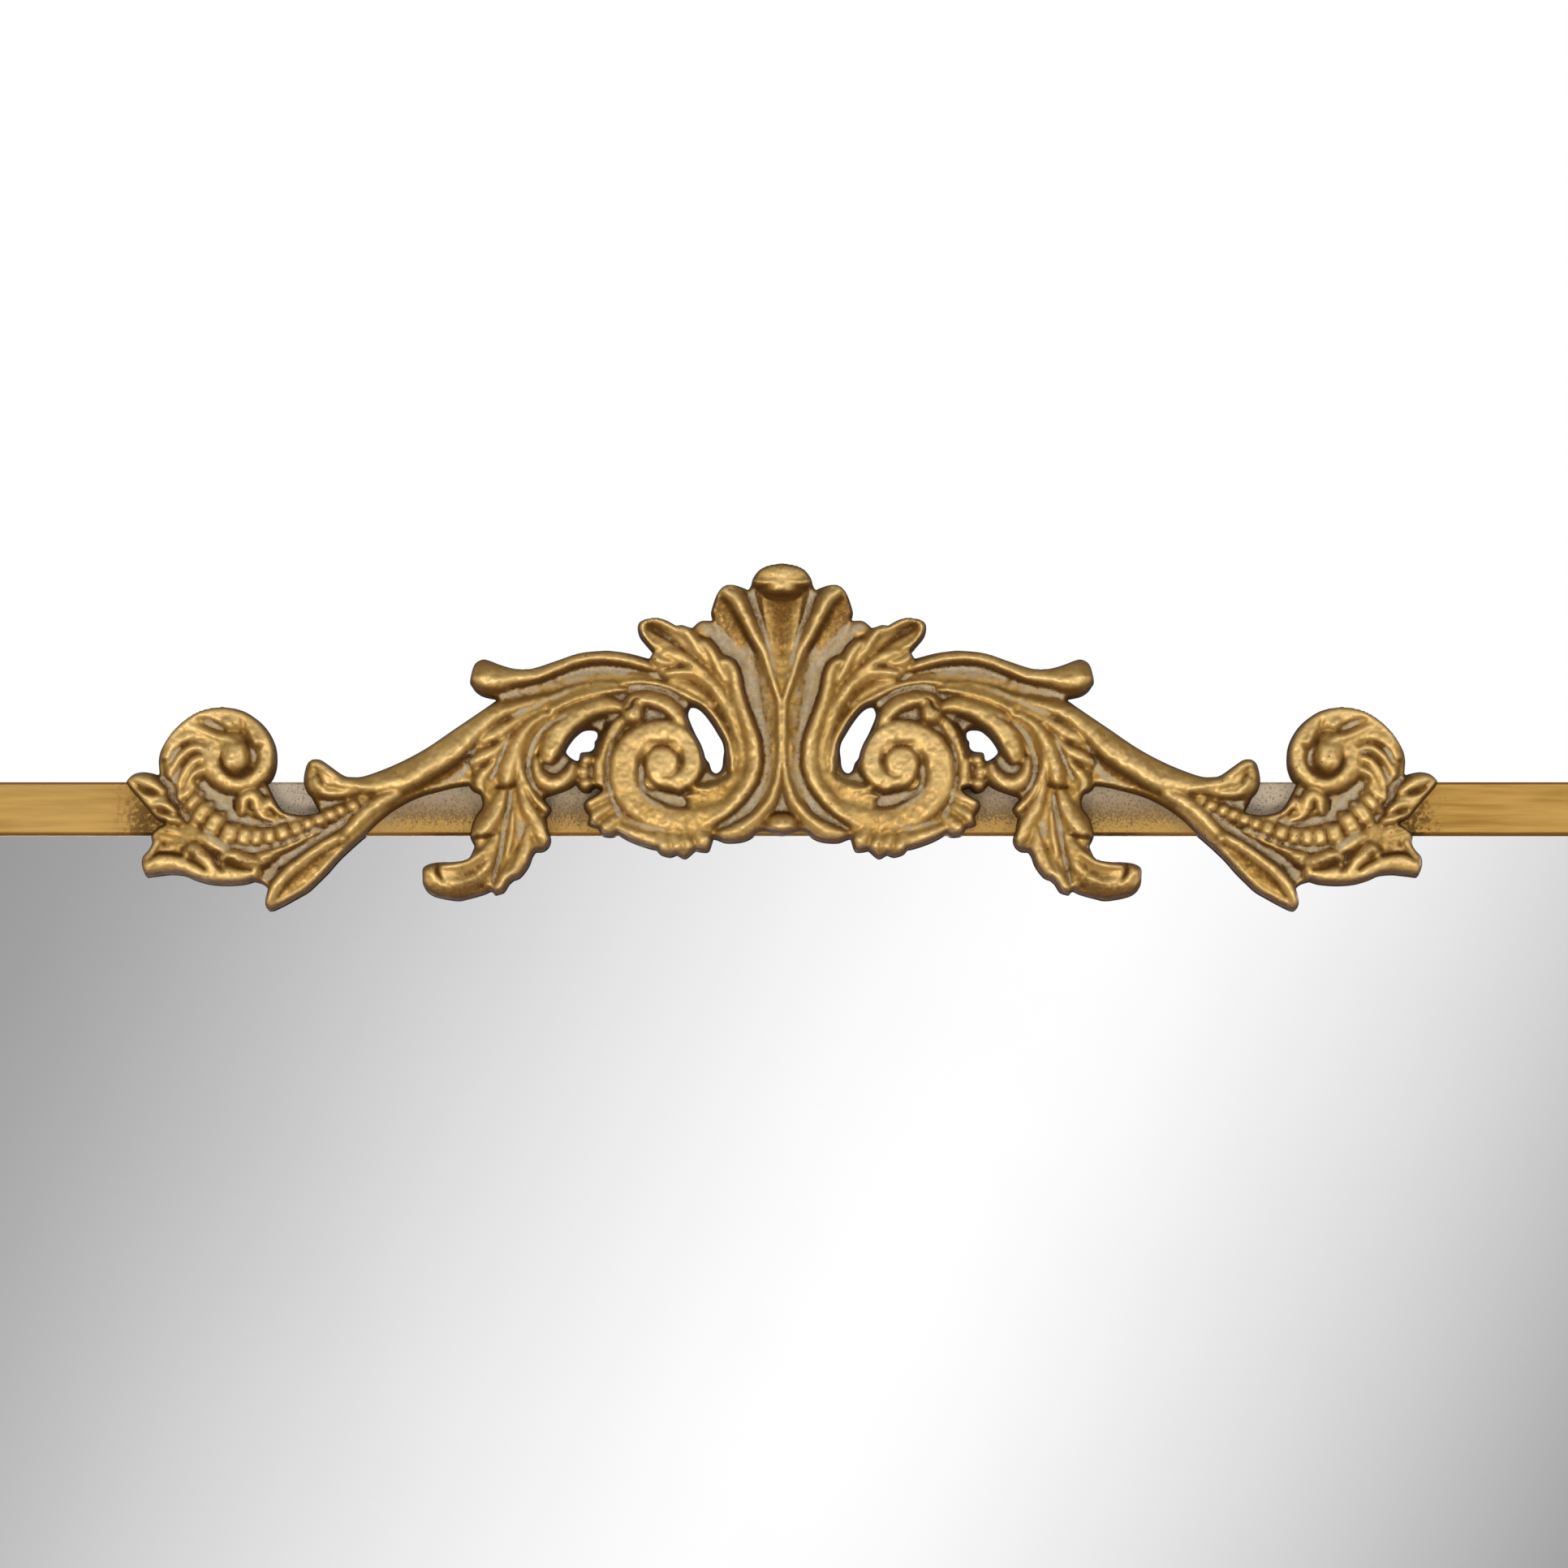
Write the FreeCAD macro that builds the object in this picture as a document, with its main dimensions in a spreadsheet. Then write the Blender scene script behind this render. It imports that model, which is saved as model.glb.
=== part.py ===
# Floor mirror in a slim gilt frame, with a scroll-and-leaf crest on its top bar and a folding rear stand.
# Millimetres, +Z up, +Y from the viewer to the back, origin on the floor under the middle of the whole mirror.
# Every piece of the mirror is drawn in the upright mirror's own frame: x across, y from the front face
# of the bars to the back, z up from the bottom edge. One placement then leans them all back together.
import FreeCAD, Part
import math
import os
import re
import Sketcher

os.makedirs("parts", exist_ok=True)
doc = FreeCAD.newDocument("FloorMirror")
sheet = doc.addObject("Spreadsheet::Sheet", "Sizes")

# Driving sizes in millimetres and degrees, by piece
sizes = [
    ("lean_angle", 9, "lean of the mirror from upright"),
    ("leg_angle", 7, "slope of the open stand from upright"),
    ("frame_wide", 711, "outer width of the frame"),
    ("frame_tall", 1702, "outer height of the frame"),
    ("frame_face", 20, "width of a bar seen from the front"),
    ("frame_deep", 25, "depth of a bar"),
    ("tube_wide", 15, "width of the hollow part of a bar"),
    ("tube_wall", 1.5, "side and rear wall of a bar"),
    ("lip_thick", 2, "front wall of a bar and its lip over the glass"),
    ("outer_bevel", 0.9, "bevel on the outer front edge"),
    ("inner_bevel", 1.2, "bevel on the inner front edge"),
    ("edge_play", 1, "room between a bar and the edge of the glass"),
    ("glass_thick", 4, "mirror glass"),
    ("gasket_thick", 0.8, "gasket behind the lip"),
    ("gasket_inset", 0.6, "gasket edge behind the lip's edge"),
    ("foam_thick", 1.5, "foam sheet behind the glass"),
    ("board_thick", 5, "backing board"),
    ("key_long", 45, "leg of a corner key from the frame's corner"),
    ("key_play", 0.15, "room round a corner key in its bar"),
    ("key_screw", 32, "corner screw from the frame's corner"),
    ("screw_round", 2, "shank radius of the frame screws"),
    ("screw_play", 0.05, "room round a shank in its hole"),
    ("screw_head", 3.8, "head radius of the frame screws"),
    ("screw_cap", 2, "head height of the frame screws"),
    ("screw_socket", 1.4, "corner radius of the hexagon socket"),
    ("socket_deep", 1.1, "depth of the hexagon socket"),
    ("key_bolt", 9, "shank length of a corner screw"),
    ("clip_wide", 16, "board clip along the bar"),
    ("clip_metal", 1, "sheet of a board clip"),
    ("clip_rise", 9, "board clip leg on the bar"),
    ("clip_foot", 11, "board clip leg on the board"),
    ("clip_bolt", 4, "shank length of a clip screw"),
    ("clip_shank", 1.5, "shank radius of a clip screw"),
    ("clip_head", 2.8, "head radius of a clip screw"),
    ("clip_cap", 1.6, "head height of a clip screw"),
    ("clip_step_wide", 340, "clip spacing along the top and bottom bars"),
    ("clip_step_tall", 420, "clip spacing along the side bars"),
    ("crest_wide", 489, "width of the crest"),
    ("crest_web", 6, "flat ground of the crest, from its back"),
    ("crest_ground", 7, "middle line of the beads and thin ridges"),
    ("crest_low", 9, "height of the low leaves and the volute's ground"),
    ("crest_band", 11, "middle line of the volute bands"),
    ("crest_mid", 12, "height of the main leaves and branches"),
    ("crest_high", 15, "height of the centre leaves and volutes"),
    ("crest_peak", 19, "height of the top roll and the volute bands"),
    ("crest_near", 45, "inner crest screws from the middle"),
    ("crest_far", 150, "outer crest screws from the middle"),
    ("crest_grip", 4.5, "depth of a crest screw in the crest"),
    ("crest_pilot", 5, "depth of the screw holes in the crest"),
    ("access_round", 4.6, "radius of the rear holes for the crest screws"),
    ("plug_play", 0.1, "room round a hole plug"),
    ("plug_flange", 6.5, "flange radius of a hole plug"),
    ("plug_cap", 1, "flange thickness of a hole plug"),
    ("plug_stem", 3, "stem length of a hole plug"),
    ("pin_high", 1150, "hinge pin above the bottom edge"),
    ("pin_offset", 13, "hinge pin behind the bars"),
    ("pin_round", 3, "radius of a hinge pin"),
    ("pin_play", 0.05, "room round a pin in the bracket"),
    ("pin_head", 5, "head radius of a hinge pin"),
    ("pin_cap", 1.5, "head and tail thickness of a hinge pin"),
    ("bracket_metal", 2, "sheet of a hinge bracket"),
    ("bracket_tall", 62, "hinge bracket along the side bar"),
    ("bracket_inset", 2.5, "hinge bracket from the frame's outer edge"),
    ("ear_round", 10, "rounding of a bracket ear about the pin"),
    ("bracket_screw", 22, "bracket screw above and below the pin"),
    ("bracket_bolt", 7, "shank length of a bracket screw"),
    ("washer_thick", 1, "hinge washer"),
    ("washer_round", 6.5, "radius of a hinge washer"),
    ("side_play", 0.3, "room between the stand and a washer"),
    ("stop_play", 0.3, "room between the open stand and its stop"),
    ("leg_round", 8, "radius of the stand tube"),
    ("leg_wall", 1.2, "wall of the stand tube"),
    ("leg_bend", 50, "bend of the stand tube at its centreline"),
    ("leg_play", 0.1, "room round a pin in the stand tube"),
    ("end_cap", 1.5, "cap thickness of a tube plug"),
    ("end_stem", 4, "stem length of a tube plug"),
    ("end_bevel", 0.6, "bevel of a tube plug's cap"),
    ("sleeve_round", 10.5, "radius of a rubber sleeve"),
    ("sleeve_play", 0.05, "room between a sleeve and the tube"),
    ("sleeve_long", 60, "length of a rubber sleeve"),
    ("sleeve_apart", 500, "distance between the sleeves"),
    ("foot_gap", 5, "floor to the lowest edge of the frame"),
    ("foot_long", 70, "length of a floor foot"),
    ("foot_apart", 520, "distance between the floor feet"),
    ("foot_inset", 3, "floor foot from the front and back of the bar"),
    ("foot_sink", 3, "foot screw head above the foot's top face"),
    ("foot_well", 4.6, "radius of the well for a foot screw"),
    ("foot_bolt", 7, "shank length of a foot screw"),
    ("strap_wide", 64, "base length of the strap bracket"),
    ("strap_metal", 2, "sheet of the strap bracket"),
    ("strap_base", 13, "base height of the strap bracket"),
    ("strap_tab", 26, "width of the strap tab"),
    ("strap_reach", 18, "strap tab behind the bar"),
    ("strap_hole", 2.75, "radius of the strap hole"),
    ("strap_edge", 8, "strap hole from the tab's edge"),
    ("strap_screw", 23, "strap bracket screw from the middle"),
    ("strap_bolt", 7, "shank length of a strap bracket screw"),
    ("bumper_round", 7, "radius of a wall bumper"),
    ("bumper_thick", 5.5, "height of a wall bumper"),
    ("bumper_bevel", 2, "bevel of a wall bumper"),
    ("bumper_stem", 2, "stem radius of a wall bumper"),
    ("bumper_root", 4, "stem length of a wall bumper"),
    ("bumper_apart", 560, "distance between the wall bumpers"),
    ("cut_overrun", 5, "how far every cut runs past its wall"),
]
for row, (alias, amount, note) in enumerate(sizes, start=1):
    sheet.set(f"A{row}", note)
    sheet.set(f"B{row}", str(amount))
    sheet.setAlias(f"B{row}", alias)
doc.recompute()


def bind(words):
    """Point every size named in an expression at the sheet."""
    return re.sub(r"[a-z]+_[a-z_]+", lambda found: "Sizes." + found.group(0), words)


def number(words):
    """Work out an expression of named sizes."""
    return float(sheet.evalExpression(bind(words)))


# Places worked out from the sizes
lift = "(foot_gap + frame_deep * sin(lean_angle))"
glass_front = "(lip_thick + gasket_thick)"
glass_back = f"({glass_front} + glass_thick)"
board_front = f"({glass_back} + foam_thick)"
board_back = f"({board_front} + board_thick)"
pane_inset = "(tube_wide + edge_play)"
hinge_gap = "(2 * (leg_round + washer_thick + side_play))"
hinge_outer = f"({hinge_gap} + 2 * bracket_metal)"
leg_side = f"(frame_wide / 2 - bracket_inset - {hinge_outer} / 2)"
pin_deep = "(frame_deep + pin_offset)"
pin_up = f"({lift} + pin_high * cos(lean_angle) - {pin_deep} * sin(lean_angle))"
pin_back = f"(pin_high * sin(lean_angle) + {pin_deep} * cos(lean_angle))"
leg_long = f"(({pin_up} - sleeve_round) / cos(leg_angle))"
rear_reach = f"({pin_back} + {leg_long} * sin(leg_angle) + sleeve_round)"
front_edge = f"(-{rear_reach} / 2)"
open_angle = "(lean_angle + leg_angle)"
stop_reach = "(pin_offset - bracket_metal - stop_play)"
leg_top = f"(({stop_reach} - leg_round * cos({open_angle})) / sin({open_angle}))"
bore_round = "(screw_round + screw_play)"
upright = "rotation(vector(0; 0; 1); 0)"
leaning = f"placement(vector(0; {front_edge}; {lift}); rotation(vector(1; 0; 0); -lean_angle))"


def placed(x="0", y="0", z="0", turn=upright):
    """Place a piece in the leaning mirror's frame."""
    return f"{leaning} * placement(vector({x}; {y}; {z}); {turn})"


def inside(x="0", y="0", z="0", turn=upright):
    """Place one solid of a group in the upright frame."""
    return f"placement(vector({x}; {y}; {z}); {turn})"


def turned(x, y, z, angle):
    """A turn about an axis, in degrees."""
    return f"rotation(vector({x}; {y}; {z}); {angle})"


def new_body(label, place):
    """Start a piece as a body with its label and placement."""
    body = doc.addObject("PartDesign::Body", label)
    body.Label = label
    body.setExpression("Placement", bind(place))
    return body


def sketch_on(body, name, role, at="0"):
    """Attach a sketch to a plane of the body, moved along the plane's axis to a depth."""
    plane = next(item for item in body.Origin.OriginFeatures if item.Role == role)
    sketch = body.newObject("Sketcher::SketchObject", f"{body.Name}_{name}")
    sketch.AttachmentSupport = [(plane, "")]
    sketch.MapMode = "FlatFace"
    if at != "0":
        sign = "-" if role == "XZ_Plane" else ""
        sketch.setExpression("AttachmentOffset.Base.z", bind(f"{sign}({at})"))
    return sketch


def bind_point(sketch, line, end, x, y):
    """Hold one end of a line at a place given by sizes."""
    for kind, axis, place in (("DistanceX", -2, x), ("DistanceY", -1, y)):
        if place == "0":
            sketch.addConstraint(Sketcher.Constraint("PointOnObject", line, end, axis))
            continue
        held = sketch.addConstraint(Sketcher.Constraint(kind, -1, 1, line, end, number(place)))
        sketch.setExpression(f"Constraints[{held}]", bind(place))


def draw_polygon(sketch, corners):
    """Draw a closed outline of straight lines, each corner held by sizes."""
    first = sketch.GeometryCount
    spots = [FreeCAD.Vector(number(x), number(y), 0) for x, y in corners]
    count = len(spots)
    for index in range(count):
        sketch.addGeometry(Part.LineSegment(spots[index], spots[(index + 1) % count]), False)
    for index in range(count):
        after = first + (index + 1) % count
        sketch.addConstraint(Sketcher.Constraint("Coincident", first + index, 2, after, 1))
    for index, (x, y) in enumerate(corners):
        bind_point(sketch, first + index, 1, x, y)


def draw_rectangle(sketch, left, right, low, top):
    """Draw an upright rectangle between named sizes."""
    draw_polygon(sketch, [(left, low), (right, low), (right, top), (left, top)])


def draw_circle(sketch, x, y, radius):
    """Draw a circle held by sizes."""
    centre = FreeCAD.Vector(number(x), number(y), 0)
    normal = FreeCAD.Vector(0, 0, 1)
    circle = sketch.addGeometry(Part.Circle(centre, normal, number(radius)), False)
    bind_point(sketch, circle, 3, x, y)
    held = sketch.addConstraint(Sketcher.Constraint("Radius", circle, number(radius)))
    sketch.setExpression(f"Constraints[{held}]", bind(radius))


def pad(body, name, sketch, length, both_ways=False, backwards=False):
    """Raise a sketch into a solid."""
    feature = body.newObject("PartDesign::Pad", f"{body.Name}_{name}")
    feature.Profile = sketch
    feature.setExpression("Length", bind(length))
    if both_ways:
        feature.SideType = "Symmetric"
    feature.Reversed = backwards
    sketch.Visibility = False
    return feature


def pocket(body, name, sketch, length):
    """Cut a sketch out of the solid, half the length to each side of it."""
    feature = body.newObject("PartDesign::Pocket", f"{body.Name}_{name}")
    feature.Profile = sketch
    feature.setExpression("Length", bind(length))
    feature.SideType = "Symmetric"
    sketch.Visibility = False
    return feature


def drill(body, name, role, at, depth, radius, spots):
    """Drill round holes through the wall that lies at a depth along one axis of the body."""
    sketch = sketch_on(body, f"{name}_sketch", role, at)
    for x, y in spots:
        draw_circle(sketch, x, y, radius)
    return pocket(body, name, sketch, f"2 * ({depth})")


def steps(count, pitch):
    """Evenly spaced places about the middle, as expressions."""
    return [f"({index - (count - 1) / 2} * {pitch})" for index in range(count)]


# Frame bars: hollow profile with a lip over the glass, mitred at both ends
def bar(label, long, place, clips):
    body = new_body(label, place)
    outline = sketch_on(body, "profile", "YZ_Plane")
    draw_polygon(outline, [
        ("0", "outer_bevel"),
        ("0", "frame_face - inner_bevel"),
        ("inner_bevel", "frame_face"),
        ("lip_thick", "frame_face"),
        ("lip_thick", "tube_wide"),
        ("frame_deep", "tube_wide"),
        ("frame_deep", "0"),
        ("outer_bevel", "0"),
    ])
    draw_rectangle(outline, "lip_thick", "frame_deep - tube_wall", "tube_wall", "tube_wide - tube_wall")
    pad(body, "length", outline, long, both_ways=True)
    mitre = sketch_on(body, "mitre_sketch", "XZ_Plane")
    for side in ("", "-"):
        draw_polygon(mitre, [
            (f"{side}({long} / 2)", "0"),
            (f"{side}({long} / 2 + cut_overrun)", "0"),
            (f"{side}({long} / 2 + cut_overrun)", "frame_face + cut_overrun"),
            (f"{side}({long} / 2 - frame_face - cut_overrun)", "frame_face + cut_overrun"),
        ])
    pocket(body, "mitre", mitre, "2 * (frame_deep + cut_overrun)")
    corner_spots = [(f"{side}({long} / 2 - key_screw)", "tube_wide / 2") for side in ("", "-")]
    drill(body, "corner_holes", "XZ_Plane", "frame_deep", "tube_wall + cut_overrun", bore_round, corner_spots)
    clip_spots = [(place_x, f"{board_back} + clip_rise / 2") for place_x in clips]
    clip_bore = "(clip_shank + screw_play)"
    drill(body, "clip_holes", "XY_Plane", "tube_wide", "tube_wall + cut_overrun", clip_bore, clip_spots)
    return body


wide_clips = steps(2, "clip_step_wide")
tall_clips = steps(4, "clip_step_tall")
bottom_rail = bar("bottom_rail", "frame_wide", placed(), wide_clips)
top_turn = turned(0, 1, 0, 180)
top_rail = bar("top_rail", "frame_wide", placed(z="frame_tall", turn=top_turn), wide_clips)
left_place = placed(x="-frame_wide / 2", z="frame_tall / 2", turn=turned(0, 1, 0, 90))
right_place = placed(x="frame_wide / 2", z="frame_tall / 2", turn=turned(0, 1, 0, -90))
left_stile = bar("left_stile", "frame_tall", left_place, tall_clips)
right_stile = bar("right_stile", "frame_tall", right_place, tall_clips)

# Holes of the top bar: crest screws at the front, their access holes, strap bracket and bumpers at the back
crest_screws_at = ["crest_near", "-crest_near", "crest_far", "-crest_far"]
crest_spots = [(x, "tube_wide / 2") for x in crest_screws_at]
drill(top_rail, "crest_holes", "XZ_Plane", "0", "lip_thick + cut_overrun", bore_round, crest_spots)
drill(top_rail, "access_holes", "XZ_Plane", "frame_deep", "tube_wall + cut_overrun", "access_round", crest_spots)
strap_spots = [(f"{side}strap_screw", "tube_wide / 2") for side in ("", "-")]
drill(top_rail, "strap_holes", "XZ_Plane", "frame_deep", "tube_wall + cut_overrun", bore_round, strap_spots)
bumper_spots = [(f"{side}bumper_apart / 2", "tube_wide / 2") for side in ("", "-")]
stem_bore = "(bumper_stem + screw_play)"
drill(top_rail, "bumper_holes", "XZ_Plane", "frame_deep", "tube_wall + cut_overrun", stem_bore, bumper_spots)

# Holes of the side bars for the hinge brackets, and of the bottom bar for the feet
for stile, side in ((left_stile, "-"), (right_stile, "")):
    spots = [(f"{side}(pin_high + {way}bracket_screw - frame_tall / 2)", "tube_wide / 2") for way in ("", "-")]
    drill(stile, "hinge_holes", "XZ_Plane", "frame_deep", "tube_wall + cut_overrun", bore_round, spots)
foot_spots = [(f"{side}foot_apart / 2", "frame_deep / 2") for side in ("", "-")]
drill(bottom_rail, "foot_holes", "XY_Plane", "0", "tube_wall + cut_overrun", bore_round, foot_spots)


# Corner keys: cast angles that slide into the hollow bars and hold each mitre
def corner_key(label, place):
    body = new_body(label, place)
    near = "(tube_wall + key_play)"
    far = "(tube_wide - tube_wall - key_play)"
    angle = sketch_on(body, "angle", "XZ_Plane", "lip_thick + key_play")
    draw_polygon(angle, [(near, near), ("key_long", near), ("key_long", far), (far, far),
                         (far, "key_long"), (near, "key_long")])
    thick = "frame_deep - lip_thick - tube_wall - 2 * key_play"
    pad(body, "thick", angle, thick, backwards=True)
    spots = [("key_screw", "tube_wide / 2"), ("tube_wide / 2", "key_screw")]
    drill(body, "holes", "XZ_Plane", "frame_deep", "frame_deep", bore_round, spots)


corners = [
    ("bottom_left", "-frame_wide / 2", "0", 0),
    ("bottom_right", "frame_wide / 2", "0", -90),
    ("top_right", "frame_wide / 2", "frame_tall", 180),
    ("top_left", "-frame_wide / 2", "frame_tall", 90),
]
for name, corner_x, corner_z, angle in corners:
    corner_key(f"corner_key_{name}", placed(x=corner_x, z=corner_z, turn=turned(0, 1, 0, angle)))


def primitive(kind, name, values, place=None):
    """Make a simple solid whose sizes follow the sheet."""
    solid = doc.addObject(kind, name)
    for size_name, words in values.items():
        solid.setExpression(size_name, bind(words))
    if place:
        solid.setExpression("Placement", bind(place))
    return solid


def combine(kind, name, base, tool, place=None):
    """Cut or fuse two solids."""
    result = doc.addObject(kind, name)
    result.Base = base
    result.Tool = tool
    if place:
        result.setExpression("Placement", bind(place))
    return result


def group(label, members, place):
    """Gather like pieces, each a separate solid, under one label."""
    result = doc.addObject("Part::Compound", label)
    result.Label = label
    result.Links = members
    result.setExpression("Placement", bind(place))
    return result


def screw(name, head, cap, shank, bolt, place):
    """A pan-head screw with a hexagon socket, its seat at zero and its shank along +Z."""
    head_solid = primitive("Part::Cylinder", f"{name}_head", {"Radius": head, "Height": cap},
                           inside(z=f"-{cap}"))
    shank_solid = primitive("Part::Cylinder", f"{name}_shank", {"Radius": shank, "Height": bolt})
    blank = combine("Part::Fuse", f"{name}_blank", head_solid, shank_solid)
    socket = primitive("Part::Prism", f"{name}_socket",
                       {"Circumradius": "screw_socket", "Height": "socket_deep"}, inside(z=f"-{cap}"))
    socket.Polygon = 6
    return combine("Part::Cut", name, blank, socket, place)


into_front = turned(1, 0, 0, 90)
# Corner screws, two to a corner, from the back through the bars into the keys
members = []
for name, corner_x, corner_z, angle in corners:
    sign_x = "+" if corner_x.startswith("-") else "-"
    sign_z = "+" if corner_z == "0" else "-"
    for leg, along, across in (("flat", "key_screw", "tube_wide / 2"), ("tall", "tube_wide / 2", "key_screw")):
        place = inside(x=f"{corner_x} {sign_x} {along}", y="frame_deep",
                       z=f"{corner_z} {sign_z} {across}", turn=into_front)
        members.append(screw(f"corner_screw_{name}_{leg}", "screw_head", "screw_cap", "screw_round",
                             "key_bolt", place))
group("corner_screws", members, placed())


# Layers behind the lip: gasket, glass, foam sheet and backing board
def pane(label, front, thick):
    values = {
        "Length": f"frame_wide - 2 * {pane_inset}",
        "Width": thick,
        "Height": f"frame_tall - 2 * {pane_inset}",
    }
    place = placed(x=f"-frame_wide / 2 + {pane_inset}", y=front, z=pane_inset)
    sheet_solid = primitive("Part::Box", label, values, place)
    sheet_solid.Label = label


pane("mirror_glass", glass_front, "glass_thick")
pane("foam_liner", glass_back, "foam_thick")
pane("backing_board", board_front, "board_thick")
gasket_outer = primitive("Part::Box", "gasket_outer", {
    "Length": f"frame_wide - 2 * {pane_inset}",
    "Width": "gasket_thick",
    "Height": f"frame_tall - 2 * {pane_inset}",
}, inside(x=f"-frame_wide / 2 + {pane_inset}", y="lip_thick", z=pane_inset))
gasket_edge = "(frame_face - gasket_inset)"
gasket_inner = primitive("Part::Box", "gasket_inner", {
    "Length": f"frame_wide - 2 * {gasket_edge}",
    "Width": "gasket_thick + 2 * cut_overrun",
    "Height": f"frame_tall - 2 * {gasket_edge}",
}, inside(x=f"-frame_wide / 2 + {gasket_edge}", y="lip_thick - cut_overrun", z=gasket_edge))
gasket = combine("Part::Cut", "glass_gasket", gasket_outer, gasket_inner, placed())
gasket.Label = "glass_gasket"


# Board clips: sheet angles screwed to the inner side of the bars, pressing on the board
def board_clip(name, place):
    """An angle at the bar's rear rebate: x along the bar, y to the back, z away from the bar."""
    rise = primitive("Part::Box", f"{name}_rise", {
        "Length": "clip_wide", "Width": "clip_rise", "Height": "clip_metal"}, inside(x="-clip_wide / 2"))
    foot = primitive("Part::Box", f"{name}_foot", {
        "Length": "clip_wide", "Width": "clip_metal", "Height": "clip_foot"}, inside(x="-clip_wide / 2"))
    blank = combine("Part::Fuse", f"{name}_blank", rise, foot)
    bore = primitive("Part::Cylinder", f"{name}_bore", {
        "Radius": "clip_shank + screw_play", "Height": "clip_metal + 2 * cut_overrun"},
        inside(y="clip_rise / 2", z="-cut_overrun"))
    return combine("Part::Cut", name, blank, bore, place)


clips = []
clip_screws = []
sides = [
    ("bottom", wide_clips, "{at}", "tube_wide", 0),
    ("top", wide_clips, "{at}", "frame_tall - tube_wide", 180),
    ("left", tall_clips, "-frame_wide / 2 + tube_wide", "frame_tall / 2 + {at}", 90),
    ("right", tall_clips, "frame_wide / 2 - tube_wide", "frame_tall / 2 + {at}", -90),
]
for name, places, clip_x, clip_z, angle in sides:
    for count, at in enumerate(places, start=1):
        x = clip_x.format(at=at)
        z = clip_z.format(at=at)
        lift_off = {"bottom": (x, f"{z} + clip_metal"), "top": (x, f"{z} - clip_metal"),
                    "left": (f"{x} + clip_metal", z), "right": (f"{x} - clip_metal", z)}[name]
        clip_turn = turned(0, 1, 0, angle)
        clips.append(board_clip(f"board_clip_{name}_{count}", inside(x=x, y=board_back, z=z, turn=clip_turn)))
        screw_turn = turned(0, 1, 0, angle + 180)
        place = inside(x=lift_off[0], y=f"{board_back} + clip_rise / 2", z=lift_off[1], turn=screw_turn)
        clip_screws.append(screw(f"clip_screw_{name}_{count}", "clip_head", "clip_cap", "clip_shank",
                                 "clip_bolt", place))
group("board_clips", clips, placed())
group("board_clip_screws", clip_screws, placed())

# Crest screws inside the top bar, and the plugs that close their access holes
screw_high = "frame_tall - tube_wide / 2"
members = []
for count, x in enumerate(crest_screws_at, start=1):
    place = inside(x=x, y="lip_thick", z=screw_high, turn=into_front)
    members.append(screw(f"crest_screw_{count}", "screw_head", "screw_cap", "screw_round",
                         "lip_thick + crest_grip", place))
group("crest_screws", members, placed())
members = []
for count, x in enumerate(crest_screws_at, start=1):
    flange = primitive("Part::Cylinder", f"plug_flange_{count}", {"Radius": "plug_flange", "Height": "plug_cap"},
                       inside(z="-plug_cap"))
    stem = primitive("Part::Cylinder", f"plug_stem_{count}",
                     {"Radius": "access_round - plug_play", "Height": "plug_stem"})
    place = inside(x=x, y="frame_deep", z=screw_high, turn=into_front)
    members.append(combine("Part::Fuse", f"access_plug_{count}", flange, stem, place))
group("access_plugs", members, placed())


# Hinge brackets: a base plate on the side bar with two ears for the pin
def hinge_bracket(label, x):
    body = new_body(label, placed(x=x, y="frame_deep", z="pin_high"))
    base = sketch_on(body, "base", "XZ_Plane")
    draw_rectangle(base, f"-{hinge_outer} / 2", f"{hinge_outer} / 2", "-bracket_tall / 2", "bracket_tall / 2")
    pad(body, "plate", base, "bracket_metal", backwards=True)
    ears = sketch_on(body, "ear_block", "YZ_Plane")
    draw_rectangle(ears, "bracket_metal / 2", "pin_offset", "-ear_round", "ear_round")
    pad(body, "ears", ears, hinge_outer, both_ways=True)
    rounds = sketch_on(body, "ear_round_sketch", "YZ_Plane")
    draw_circle(rounds, "pin_offset", "0", "ear_round")
    pad(body, "ear_rounds", rounds, hinge_outer, both_ways=True)
    gap = sketch_on(body, "gap_sketch", "XY_Plane")
    draw_rectangle(gap, f"-{hinge_gap} / 2", f"{hinge_gap} / 2", "bracket_metal",
                   "pin_offset + ear_round + cut_overrun")
    pocket(body, "gap", gap, "2 * (ear_round + cut_overrun)")
    drill(body, "pin_hole", "YZ_Plane", "0", f"{hinge_outer} / 2 + cut_overrun", "pin_round + pin_play",
          [("pin_offset", "0")])
    screw_x = f"{'-' if x.startswith('-') else ''}(frame_wide / 2 - tube_wide / 2 - {leg_side})"
    spots = [(screw_x, "bracket_screw"), (screw_x, "-bracket_screw")]
    drill(body, "screw_holes", "XZ_Plane", "0", "bracket_metal + cut_overrun", bore_round, spots)


def revolved(label, place, profile):
    """Turn a closed half profile about the body's Z axis."""
    body = new_body(label, place)
    half = sketch_on(body, "half", "XZ_Plane")
    draw_polygon(half, profile)
    axis = next(item for item in body.Origin.OriginFeatures if item.Role == "Z_Axis")
    feature = body.newObject("PartDesign::Revolution", f"{label}_turned")
    feature.Profile = half
    feature.ReferenceAxis = (axis, [""])
    feature.Angle = 360
    half.Visibility = False
    return body


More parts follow.
